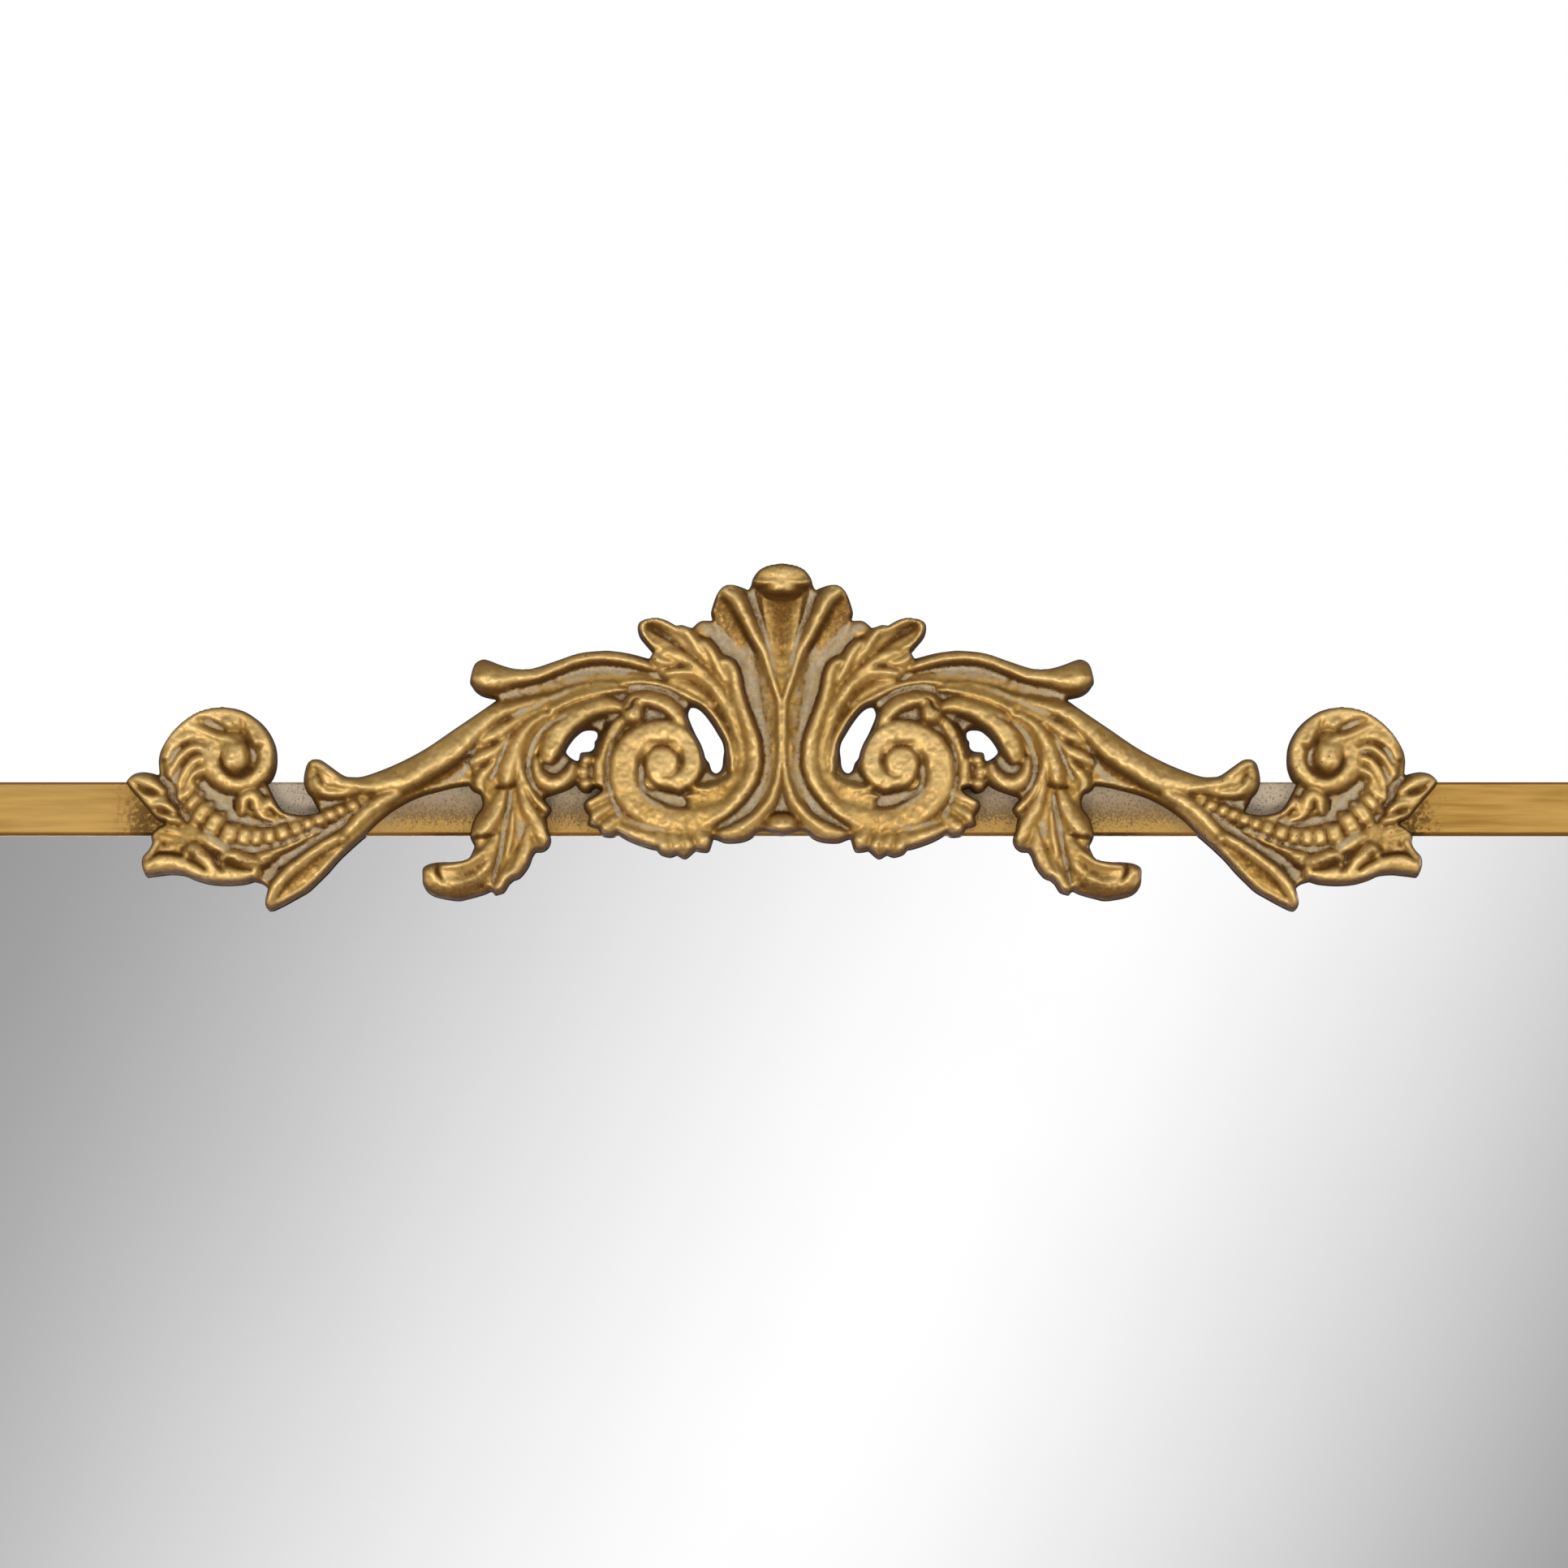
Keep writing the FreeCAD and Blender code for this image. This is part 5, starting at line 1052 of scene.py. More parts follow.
frond_wash_px = [
    [(629, 977, 3, 1), (627, 1001, 4, 1), (622, 1024, 4, 1), (618, 1048, 4, 0.9), (613, 1071, 3.5, 0.8),
     (609, 1090, 2.5, 0.5)],
    [(642, 1010, 2, 0.6), (643, 1022, 4, 1), (641, 1036, 3, 0.8)],
    [(628, 905, 2.5, 0.7), (621, 928, 3, 0.9), (613, 947, 3, 1), (606, 962, 3, 0.9)],
    [(698, 884, 2.5, 0.8), (668, 903, 3.5, 0.9), (656, 925, 4, 1), (652, 948, 4, 1), (657, 970, 4, 1),
     (668, 985, 4, 0.9)],
    [(586, 914, 3, 0.7), (577, 933, 4, 0.9), (575, 950, 4, 0.9)],
]
model(long_leaf_px, tilt=0.2)
model(pointed_leaf_px, tilt=-0.2)
hollow(pointed_leaf_furrow_px)
model(thin_rib_px)
model(low_leaf_px, power=2.2, tilt=0.2)
hollow(*frond_furrows_px)
brush(veil, *frond_wash_px)

# End scroll: the band that rolls in over the ball, curled lobes, and the feathered side
scroll_band_px = [
    (206, 918, 9, 12.8), (216, 904, 14, 13.6), (232, 891, 17, 14), (252, 884, 18, 14.2),
    (272, 882, 18, 14.2), (291, 886, 18, 14.2), (308, 894, 17, 14.2), (320, 906, 15.5, 14.2),
    (328, 921, 15, 14.2), (329, 937, 15, 14.2), (323, 951, 15.5, 14.2), (311, 961, 16, 14.2),
    (295, 965, 17, 14.2), (278, 960, 18, 14.2), (266, 948, 18, 14.2), (263, 933, 17, 14.2),
    (268, 919, 14, 14), (276, 911, 10, 13.8)
]
scroll_fold_px = [
    (226, 900, 8, 13.6), (242, 899, 9, 14.4), (256, 905, 9.5, 14.8), (270, 912, 10, 15),
    (282, 914, 12, 15.2), (290, 920, 15, 16)
]
scroll_disc_px = (285, 925, 24, 24, 0, 14.4)
scroll_ball_px = (291, 934, 21, 24, 0, 17.2)
ball_furrow_px = [
    (274, 930, 2, 0.8), (274, 942, 3, 1.8), (280, 953, 3.5, 2.2), (291, 958.5, 4.5, 2.4),
    (302, 956, 6, 2.6), (311, 948, 7, 2.6), (315, 936, 6, 2.2), (310, 924, 4, 1.6), (304, 915, 2, 0.8)
]
scroll_lobes_px = [(283, 893, 17, 13, 25, 14.8), (317, 914, 9, 15, -25, 14.8)]
lobe_furrows_px = [
    [(297, 887, 1, 0.4), (302, 897, 3, 1.6), (300, 906, 3, 2), (307, 915, 3, 1.8)],
    [(309, 897, 1, 0.4), (305, 905, 2.5, 1.6), (307, 918, 2.5, 1.8), (315, 927, 3, 1.8),
     (324, 921, 2.5, 1.2)],
    [(250, 890, 5, 1.4), (262, 895, 6, 2), (272, 899, 5, 1.6), (280, 904, 3, 0.8)],
]
feathers_px = [
    [(262, 917, 6, 13.6), (247, 909, 11, 14), (230, 910, 12, 14), (216, 920, 11, 13.6), (208, 934, 9, 13)],
    [(256, 926, 6, 13.4), (241, 923, 9.5, 13.8), (228, 930, 10, 13.6), (217, 943, 9, 13.2),
     (211, 957, 7, 12.4)],
    [(256, 938, 6, 13.4), (244, 938, 9.5, 13.8), (234, 946, 9, 13.6), (227, 959, 8, 13.2),
     (223, 971, 6, 12.4)],
    [(256, 950, 7, 13.4), (244, 953, 9.5, 13.8), (234, 962, 10, 13.6), (227, 975, 9, 13.2),
     (224, 986, 7, 12.6)],
]
feather_furrows_px = [
    [(245, 917, 2, 0.8), (231, 921, 3.5, 1.8), (220, 930, 4, 2.2), (212, 944, 3, 1.4)],
    [(250, 931, 1.5, 0.8), (237, 935, 2.5, 1.8), (226, 948, 3, 2), (218, 962, 3, 1.6)],
    [(250, 945, 1.5, 0.8), (240, 951, 2.5, 1.6), (231, 964, 2.5, 1.6), (226, 977, 2, 1)],
]
scroll_umber_px = [
    (274, 938, 2, 0.5), (279, 951, 3, 0.7), (289, 958, 3, 0.7), (300, 956, 4, 0.6), (310, 948, 4, 0.4)
]
scroll_wash_px = [
    [(309, 925, 3, 0.7), (316, 934, 4, 0.8), (314, 946, 3, 0.5)],
    [(258, 893, 6, 0.9), (268, 897, 5, 0.9), (277, 901, 3, 0.5)],
    [(222, 925, 4, 0.9), (216, 933, 4, 0.9), (212, 942, 3, 0.7)],
    [(238, 928, 2, 0.6), (252, 929, 3, 0.8)],
]
model(scroll_band_px, power=3)
model(scroll_fold_px)
cushion(scroll_disc_px, power=4)
cushion(scroll_ball_px, power=3)
hollow(ball_furrow_px)
cushion(*scroll_lobes_px, power=2.4)
hollow(*lobe_furrows_px)
model(*feathers_px, power=2.4)
hollow(*feather_furrows_px)
brush(umber_and_shadow, scroll_umber_px)
brush(veil, *scroll_wash_px)

# Leaf at the very end: a fat upper lobe, a rib that folds across, and two smaller lobes below
end_leaf_lobes_px = [
    [(165, 964, 7, 13.2), (173, 963, 10, 14.4), (183, 966, 11, 15), (193, 971, 10, 15),
     (202, 978, 8, 14.2)],
    [(178, 990, 7, 13.4), (190, 993, 8.5, 14.4), (202, 993, 8.5, 15), (211, 998, 8, 14.8),
     (217, 1003, 6, 14)],
]
end_leaf_ribs_px = [
    [(160, 966, 4, 13), (167, 973, 5.5, 14), (176, 982, 6.5, 14.2), (187, 986, 7, 14.6),
     (198, 986, 6.5, 14.6), (206, 987, 5, 14)],
    [(188, 1003, 6, 12.6), (198, 1008, 7.5, 13.8), (210, 1011, 7.5, 14.2), (223, 1014, 7, 13.6)],
    [(194, 1024, 8, 10.6), (208, 1023, 9, 11.2), (222, 1028, 8, 11.4)],
    [(192, 1030, 9, 10.6), (204, 1033, 9, 10.8), (218, 1036, 9, 11)],
]
end_leaf_furrows_px = [
    [(171, 972, 1.5, 0.3), (180, 976, 2.5, 0.8), (191, 979, 2.5, 0.9), (200, 981, 1.5, 0.5)],
    [(192, 1000, 1.5, 0.3), (203, 1002, 2.5, 0.9), (214, 1005, 2, 0.6)],
]
end_leaf_umber_px = [
    [(182, 977, 2, 0.2), (193, 980, 2, 0.2)],
    [(204, 1003, 2, 0.2), (216, 1005, 2, 0.2)],
    [(192, 1023, 7, 0.3), (208, 1024, 8, 0.35)],
]
end_leaf_wash_px = [
    [(199, 960, 3, 0.9), (206, 966, 4.5, 1), (213, 973, 5, 1), (216, 985, 4.5, 1), (219, 997, 2.5, 0.7)],
    [(213, 970, 4, 1), (220, 959, 4, 1), (227, 948, 2.5, 0.8)],
]
model(*end_leaf_lobes_px, power=2.4)
model(*end_leaf_ribs_px)
hollow(*end_leaf_furrows_px)
brush(umber_and_shadow, *end_leaf_umber_px)
brush(veil, *end_leaf_wash_px)

# Row of beads that lie against each other in a bed, with a furrow and a line of umber between two
beads_px = [
    (234, 976, 7, 13, 42, 13), (240, 990, 7, 12.5, 42, 13), (251, 1004, 9, 14, 38, 13.2),
    (266, 1017, 9.4, 13.6, 28, 13.6), (284.5, 1030, 9.4, 13, 16, 13.6), (303, 1033.5, 8, 11.6, 6, 13.6),
    (318.5, 1034, 7.6, 10.6, 0, 13.4), (333.5, 1032.5, 7.6, 10, -6, 13.4),
    (350.5, 1028.5, 8.6, 10, -14, 13.4), (367, 1023, 7.6, 9.2, -20, 13.2),
    (381, 1017.5, 6.8, 8.2, -24, 13), (395, 1011.5, 7.6, 8.4, -26, 13), (409, 1006, 6.6, 7.8, -28, 12.8),
    (422, 1001, 6, 7.2, -30, 12.6), (436, 995, 6.8, 7, -30, 12.4), (450, 989, 6, 6, -30, 11.6)
]
bead_bed_px = [
    (236, 978, 8, 11), (243, 994, 9, 11.2), (252, 1006, 11, 11.4), (267, 1018, 12, 11.6),
    (286, 1030, 12, 11.6), (319, 1034, 10.5, 11.6), (350, 1029, 9.5, 11.4), (380, 1018, 8, 11),
    (410, 1006, 7, 10.8), (440, 993, 6, 10.4)
]
bead_wash_px = [
    [(246, 966, 4, 0.8), (256, 984, 8, 1), (272, 999, 9, 1), (294, 1012, 8, 1), (316, 1019, 5, 0.9),
     (344, 1015, 4, 0.8), (380, 1004, 3, 0.8), (420, 989, 3, 0.6)],
    [(256, 1028, 4, 0.8), (280, 1046, 5, 0.9), (320, 1048, 5, 0.9), (360, 1037, 4, 0.9),
     (400, 1020, 4, 0.9), (440, 1003, 3, 0.8), (458, 990, 2, 0.5)],
]
bead_stretch = 1.06
bead_square = 3.2
bead_base = 10.8
bead_gap_share = 0.75
bead_furrow_px = (1.6, 0.9)
bead_umber_px = (1.5, 0.35)
model(bead_bed_px, power=5)
for x, y, long, wide, turn, crown in beads_px:
    cushion((x, y, long * bead_stretch, wide, turn, crown), power=bead_square, base=bead_base)
bead_pairs = zip(beads_px[:-1], beads_px[1:])
for (x, y, long, wide, turn, _), (next_x, next_y, next_long, next_wide, next_turn, _) in bead_pairs:
    share = long / (long + next_long)
    gap_x = x + (next_x - x) * share
    gap_y = y + (next_y - y) * share
    gap_turn = math.radians((turn + next_turn) / 2)
    reach = min(wide, next_wide) * bead_gap_share
    off_x = math.sin(gap_turn) * reach
    off_y = -math.cos(gap_turn) * reach
    ends = ((gap_x + off_x, gap_y + off_y), (gap_x - off_x, gap_y - off_y))
    hollow([(*end, *bead_furrow_px) for end in ends])
    brush(umber_and_shadow, [(*end, *bead_umber_px) for end in ends])
brush(veil, *bead_wash_px)

# Small curls between the end scroll and the beads
small_curl_form_px = (11, 2, [
    (297, 990), (303, 979), (315, 977), (326, 986), (338, 986), (348, 998), (362, 1007), (376, 1010),
    (352, 1016), (330, 1014), (312, 1008), (302, 1002)
])
small_curls_px = [
    [(299, 1002, 8, 12), (302, 990, 10.5, 13), (310, 982, 11, 13.6), (318, 988, 10, 13.4),
     (319, 999, 9, 13), (326, 1008, 7, 12.2), (340, 1014, 5, 11.4)],
    [(328, 1000, 8, 12.8), (332, 992, 9.5, 13.2), (341, 995, 9.5, 13.4), (348, 1003, 8, 12.8),
     (361, 1009, 6, 11.8), (380, 1010, 4, 10.4)],
]
small_curl_furrows_px = [
    [(309, 990, 2, 1), (310, 1000, 2.5, 1.4), (316, 1008, 2, 0.8)],
    [(335, 1000, 2, 0.8), (341, 1007, 2, 1), (352, 1012, 2, 0.6)],
    [(290, 990, 6, 1.2), (293, 1000, 6, 1.4)],
]
small_curl_umber_px = [
    [(289, 988, 3, 0.8), (289, 995, 3, 0.8), (291, 1001, 2, 0.5)],
    [(309, 990, 1.5, 0.4), (311, 1000, 2, 0.5), (335, 1000, 1.5, 0.4), (341, 1007, 2, 0.5)],
]
block(small_curl_form_px)
model(*small_curls_px, power=2.4)
hollow(*small_curl_furrows_px)
brush(umber_and_shadow, *small_curl_umber_px)

# Jaw leaf under the beads
jaw_px = [
    (181, 1077, 9, 12.8), (191, 1068, 13, 13.8), (206, 1065, 14, 14.2), (222, 1067, 14, 14.2),
    (238, 1073, 15, 14.2), (256, 1078, 15, 14), (276, 1081, 14, 13.6), (296, 1080, 14, 13.4),
    (314, 1076, 12, 13)
]
jaw_pocket_px = [(186, 1063, 2, 1), (198, 1054, 3, 2), (214, 1054, 3, 2.2), (228, 1057, 3, 2)]
jaw_side_px = [(184, 1060, 7, 12.4), (189, 1050, 8, 12), (196, 1040, 8, 11.4)]
jaw_teeth_px = [
    [(232, 1056, 8, 13.2), (238, 1049, 10, 14.6), (247, 1053, 12, 15.4), (256, 1063, 12.5, 15.6),
     (266, 1074, 11, 14.6)],
    [(274, 1061, 8, 13.4), (284, 1056, 10, 14.8), (298, 1060, 11, 15.4), (312, 1065, 11, 15),
     (324, 1066, 8, 13.8)],
]
jaw_upper_px = [(250, 1034, 9, 12.8), (259, 1038, 12, 14), (271, 1045, 12.5, 14.2), (283, 1052, 8, 13)]
jaw_bump_px = (330, 1058, 13, 9, -20, 13.6)
jaw_strand_px = [
    (322, 1056, 6, 12.6), (345, 1050, 5.5, 12), (362, 1043, 4.5, 11.4), (380, 1034, 4, 10.8),
    (396, 1026, 3.5, 10.4)
]
jaw_furrows_px = [
    [(268, 1054, 2.5, 1.4), (270, 1066, 3.5, 2.8), (276, 1075, 3, 1.8)],
    [(282, 1066, 1.5, 0.8), (296, 1072, 3, 2), (312, 1075, 2.5, 1.4)],
    [(232, 1061, 1.5, 0.8), (244, 1066, 3, 2), (256, 1075, 2.5, 1.4)],
    [(252, 1044, 2, 1), (264, 1052, 2.5, 1.6), (278, 1055, 2, 1)],
    [(324, 1064, 2, 1), (334, 1060, 2, 1)],
]
jaw_wash_px = [(268, 1053, 3, 0.8), (271, 1066, 3, 1)]
jaw_umber_px = [
    [(186, 1062, 1.5, 0.5), (198, 1054, 2, 0.7), (214, 1054, 2, 0.7), (228, 1057, 2, 0.5)],
    [(282, 1067, 1.5, 0.4), (296, 1072, 2, 0.6), (312, 1075, 1.5, 0.4)],
    [(232, 1061, 1.5, 0.4), (244, 1066, 2, 0.6), (256, 1075, 1.5, 0.4)],
    [(225, 1040, 10, 0.3), (215, 1046, 8, 0.3), (335, 1070, 5, 0.4), (344, 1062, 4, 0.3)],
]
model(jaw_px, power=2.6, tilt=-0.3)
hollow(jaw_pocket_px)
model(jaw_side_px)
model(*jaw_teeth_px, power=2.2)
model(jaw_upper_px, power=2.6)
cushion(jaw_bump_px, power=2)
model(jaw_strand_px)
hollow(*jaw_furrows_px)
brush(veil, jaw_wash_px)
brush(umber_and_shadow, *jaw_umber_px)

# Long blade leaf: a hollow face under a broad raised edge, with a bump where the stem's strand leaves it
blade_edge_px = [
    (332, 1116, 7, 13), (338, 1103, 9, 13.8), (347, 1089, 10, 14), (360, 1075, 10, 14),
    (378, 1061, 9, 13.8), (396, 1048, 9, 13.6), (411, 1039, 9, 13.6), (421, 1034, 10, 13.8)
]
blade_rim_px = [
    (338, 1118, 5, 11), (352, 1111, 5, 11), (368, 1102, 5, 11), (383, 1091, 5, 11), (397, 1078, 5, 11),
    (411, 1062, 5, 11), (426, 1046, 6, 11.2), (441, 1031, 7, 11.4), (458, 1016, 7, 11.4), (478, 1001, 6, 11)
]
blade_bump_px = (424, 1036, 10, 8, -30, 15)
strand_px = [
    (424, 1032, 9, 13.6), (436, 1021, 11, 14), (448, 1009, 12, 14.2), (460, 998, 12, 14.2),
    (474, 988, 12, 14.2), (490, 980, 9, 13.8)
]
blade_umber_px = [(345, 1106, 4, 0.3), (362, 1090, 8, 0.4), (384, 1072, 8, 0.4), (404, 1055, 6, 0.3)]
blade_wash_px = [
    (336, 1082, 5, 0.7), (350, 1066, 6, 0.9), (375, 1050, 5, 0.9), (400, 1034, 5, 0.9), (425, 1015, 4, 0.8),
    (448, 998, 3, 0.6)
]
model(blade_edge_px, power=2.2, tilt=-0.2)
model(blade_rim_px)
cushion(blade_bump_px, power=2)
model(strand_px, power=2.2)
brush(umber_and_shadow, blade_umber_px)
brush(veil, blade_wash_px)

# Furrows, cracks and the deep places between forms
deep_furrows_px = [
    [(801, 775, 5, 2.6), (812, 781, 6, 2.6), (826, 790, 5, 2), (845, 805, 4, 1.2), (866, 823, 3, 0.8)],
    [(815, 827, 2, 1), (832, 824, 3, 1.6), (850, 822, 3, 1.2)],
    [(771, 878, 2, 1.6), (778, 874, 2, 1.8), (781, 866, 2, 1.6), (788, 863, 1.5, 1)],
    [(768, 1017, 2, 1), (788, 1024, 3, 1.4), (808, 1030, 2, 1)],
    [(262, 975, 10, 0.6), (276, 992, 13, 1), (292, 1008, 8, 0.8)],
    [(390, 985, 8, 0.8), (398, 992, 9, 1)],
]
# Umber in the crack beside the curl, and painted shadow in the deep hollow under the knob
crack_umber_and_shadow_px = [
    [(771, 878, 2, 0.9), (778, 874, 2, 0.9), (781, 866, 2, 0.9), (788, 863, 1.5, 0.9)],
    [(388, 989, 5, 0.8), (394, 994, 5, 0.8)],
]
hollow(*deep_furrows_px)
brush(umber_and_shadow, *crack_umber_and_shadow_px)

# The mould softened the modelling and filled its narrow gaps, and the surface is lightly hammered
chance = np.random.default_rng(7)
hammer = softened(chance.standard_normal(relief.shape), hammer_px)
ripple = softened(chance.standard_normal(relief.shape), ripple_px)
outer_gap = to_line(edges_px[0], edge_bead_px) / edge_bead_px
relief = np.maximum(relief, ground + edge_bead * (1 - outer_gap ** 2))
raised = np.clip((relief - ground) / full_rise, 0.3, 1)
relief = softened(relief, mould_px)
modelled = relief.copy()
for fill_px, below in gap_fills:
    filled = softened(relief, fill_px) - below
    relief = softened(np.maximum(relief, filled), filled_px)
relief += raised * (hammer / hammer.std() * hammer_depth + ripple / ripple.std() * ripple_depth)

# The casting rounds over to its edges, steeply at the outside and more slackly beside the gaps
rounds_px = (edge_round_px, gap_round_px, gap_round_px)
for edge, round_px, fullness in zip(edges_px, rounds_px, (edge_fullness, gap_fullness, gap_fullness)):
    near = to_line(edge, round_px) / round_px
    relief = rim_height + (relief - rim_height) * np.clip(1 - (1 - near) ** 2, 0, 1) ** fullness
solid = within(outline)
for edge in edges_px[1:]:
    solid &= ~within(edge)

# Where the gilder left umber, wash and bare bright gold, and where shade and highlights are painted in
crease_px = 2.4
valley_px = 7
rim_shade_px = 5
umber_and_shade_blur_px = 0.8
wash_blur_px = 1.3
worn_and_highlight_blur_px = 1.0
wash_line = ground + 1.8
wash_change_height = 1.4
highlight_line = 12
slope_down, slope_across = np.gradient(relief * mm / pixel)
steep = np.hypot(slope_down, slope_across)
crease = softened(relief, crease_px) - relief
deep = softened(modelled, valley_px) - modelled
# Umber in creases and wide hollows, partly the antiquing and partly painted shade
umber_and_shade_map = np.clip(crease * 1.3 - 0.12, 0, 0.9) + np.clip(deep * 0.15 - 0.06, 0, 0.4)
# Painted shade on steep flanks, along the outer rim and on faces turned downwards, then the umber and shadow
# strokes
umber_and_shade_map += np.clip((steep - 1.6) * 0.2, 0, 0.3)
umber_and_shade_map += np.clip(0.4 - outer_gap * edge_bead_px / rim_shade_px, 0, 0.4)
umber_and_shade_map += np.clip(-slope_down * 0.25 - 0.15, 0, 0.25) + umber_and_shadow
umber_and_shade_map = np.clip(softened(umber_and_shade_map, umber_and_shade_blur_px), 0, 1)
wash_map = np.clip((wash_line - modelled) / wash_change_height, 0, 0.66) + veil
wash_map *= np.clip(1.8 - steep, 0, 1) * np.clip(outer_gap * 2 - 0.6, 0, 1)
wash_map = np.clip(softened(wash_map, wash_blur_px), 0, 1)
# Painted highlight on ridges and high flat crowns, along with the rubbed gold
worn_and_highlight_map = np.clip(-crease * 2, 0, 1) * np.clip(1.3 - steep, 0, 1)
worn_and_highlight_map += np.clip((relief - highlight_line) * 0.3, 0, 0.7) * np.clip(1 - steep * 1.6, 0, 1)
worn_and_highlight_map = np.clip(softened(worn_and_highlight_map, worn_and_highlight_blur_px) * 1.6, 0, 1)


def read(field, spots):
    """Values of a map at places in pixels."""
    last_row, last_column = np.array(field.shape) - 1.001
    x = np.clip(spots[:, 0] - left_px, 0, last_column)
    y = np.clip(spots[:, 1] - top_px, 0, last_row)
    column = x.astype(int)
    row = y.astype(int)
    x = x - column
    y = y - row
    upper = field[row, column] * (1 - x) + field[row, column + 1] * x
    lower = field[row + 1, column] * (1 - x) + field[row + 1, column + 1] * x
    return upper * (1 - y) + lower * y


def nearest(spots):
    """The nearest point of the casting's edges to each place."""
    best = np.full(len(spots), np.inf)
    found = spots.copy()
    for edge in edges_px:
        for start, end in zip(edge[:-1], edge[1:]):
            run = end - start
            share = np.clip(((spots - start) @ run) / max(run @ run, 1e-9), 0, 1)
            point = start + share[:, None] * run
            gap = np.hypot(*(spots - point).T)
            nearer = gap < best
            best[nearer] = gap[nearer]
            found[nearer] = point[nearer]
    return found


# A flat grid over the left half, without what lies outside the outline or in an opening
wide_px = middle_px - left_px
tall_px = lines[-1] - top_px
steps_across = round(wide_px / mesh_step_px)
steps_down = round(tall_px / mesh_step_px)
casting = bmesh.new()
half_square = Matrix.Diagonal((wide_px / 2, tall_px / 2, 1, 1))
half_place = Matrix.Translation((middle_px - wide_px / 2, top_px + tall_px / 2, 0))
bmesh.ops.create_grid(casting, x_segments=steps_across, y_segments=steps_down, size=1,
                      matrix=half_place @ half_square)
centres = np.array([face.calc_center_median()[:2] for face in casting.faces])
kept = read(solid.astype(float), centres) > 0.5
spare = [face for face, keep in zip(casting.faces, kept) if not keep]
bmesh.ops.delete(casting, geom=spare, context="FACES")
while True:
    pinched = [v for v in casting.verts if sum(edge.is_boundary for edge in v.link_edges) > 2]
    if not pinched:
        break
    bmesh.ops.delete(casting, geom=list({face for v in pinched for face in v.link_faces}), context="FACES")

# The grid's rim slides onto the outline, and the places next to it even out
for _ in range(rim_rounds):
    rim = [v for v in casting.verts if v.is_boundary and v.co.x < middle_px - middle_reach_px]
    middles = {}
    for vertex in rim:
        beside = [edge.other_vert(vertex).co for edge in vertex.link_edges if edge.is_boundary]
        middles[vertex] = (vertex.co * 2 + sum(beside, Vector())) / (2 + len(beside))
    for vertex, middle in middles.items():
        vertex.co = middle
    places = nearest(np.array([v.co[:2] for v in rim]))
    for vertex, place in zip(rim, places):
        vertex.co.xy = place
near_rim = {v for v in casting.verts if v.is_boundary}
for _ in range(relaxed_rings):
    near_rim |= {edge.other_vert(v) for v in near_rim for edge in v.link_edges}
near_rim = [v for v in near_rim if not v.is_boundary]
for _ in range(relaxed_times):
    bmesh.ops.smooth_vert(casting, verts=near_rim, factor=relaxed_share, use_axis_x=True, use_axis_y=True)

# The right half mirrors the left
bmesh.ops.translate(casting, verts=casting.verts, vec=(-middle_px, 0, 0))
for vertex in casting.verts:
    if abs(vertex.co.x) < middle_reach_px:
        vertex.co.x = 0
bmesh.ops.mirror(casting, geom=casting.verts[:] + casting.edges[:] + casting.faces[:], axis="X",
                 merge_dist=join_reach_px)

# Every place gets its height and its share of each coat from the maps
spots = np.array([(middle_px - abs(v.co.x), v.co.y) for v in casting.verts])
heights = read(relief, spots)
# The umber coat also holds painted shade, and the worn coat painted highlights
coat_maps = {"umber": umber_and_shade_map, "wash": wash_map, "worn": worn_and_highlight_map}
tones = {name: read(field, spots) for name, field in coat_maps.items()}
layers = {name: casting.verts.layers.float.new(name) for name in tones}
raw_layer = casting.verts.layers.float.new("raw")
for place, vertex in enumerate(casting.verts):
    height = rim_height if vertex.is_boundary else heights[place]
    vertex.co = Vector((vertex.co.x * pixel, -height * mm, (bar_top_px - vertex.co.y) * pixel))
    for name, layer in layers.items():
        vertex[layer] = tones[name][place]

# Walls run back from the rims to a flat back, which is bare resin, painted dark as shade with umber on the
# walls
rims = [edge for edge in casting.edges if edge.is_boundary]
walls = bmesh.ops.extrude_edge_only(casting, edges=rims)["geom"]
back_verts = [item for item in walls if isinstance(item, bmesh.types.BMVert)]
order = {vertex: place for place, vertex in enumerate(back_verts)}
for vertex in back_verts:
    vertex.co.y = 0
    vertex[layers["umber"]] = wall_and_back_shade
    vertex[raw_layer] = 1
back_rim = [[order[vertex] for vertex in item.verts] for item in walls
            if isinstance(item, bmesh.types.BMEdge) and item.is_boundary]
flat_places = [vertex.co.xz for vertex in back_verts]
flat_back = delaunay_2d_cdt(flat_places, back_rim, [], 1, pixel * mm)
flat_places = np.array(flat_places)
flat_faces = [[flat_back[3][corner][0] for corner in face] for face in flat_back[2]]
centres = flat_places[flat_faces].mean(1)
rim_starts, rim_ends = flat_places[np.array(back_rim)].transpose(1, 0, 2)
spans = (rim_starts[:, 1] > centres[:, None, 1]) != (rim_ends[:, 1] > centres[:, None, 1])
rises = np.where(rim_starts[:, 1] == rim_ends[:, 1], 1, rim_ends[:, 1] - rim_starts[:, 1])
meets = rim_starts[:, 0] + (centres[:, None, 1] - rim_starts[:, 1]) * (rim_ends - rim_starts)[:, 0] / rises
kept = (spans & (centres[:, None, 0] < meets)).sum(1) % 2 == 1
for face, keep in zip(flat_faces, kept):
    if keep:
        casting.faces.new([back_verts[corner] for corner in face])

# The casting is laid on the top bar, leaning with it
bmesh.ops.recalc_face_normals(casting, faces=casting.faces)
for face in casting.faces:
    face.smooth = True
casting.transform(Matrix.Translation(bar_edge) @ Matrix.Rotation(-lean, 4, "X"))
crest_casting = meshed("crest_casting", casting)
crest_casting.data.set_sharp_from_angle(angle=sharp_turn)


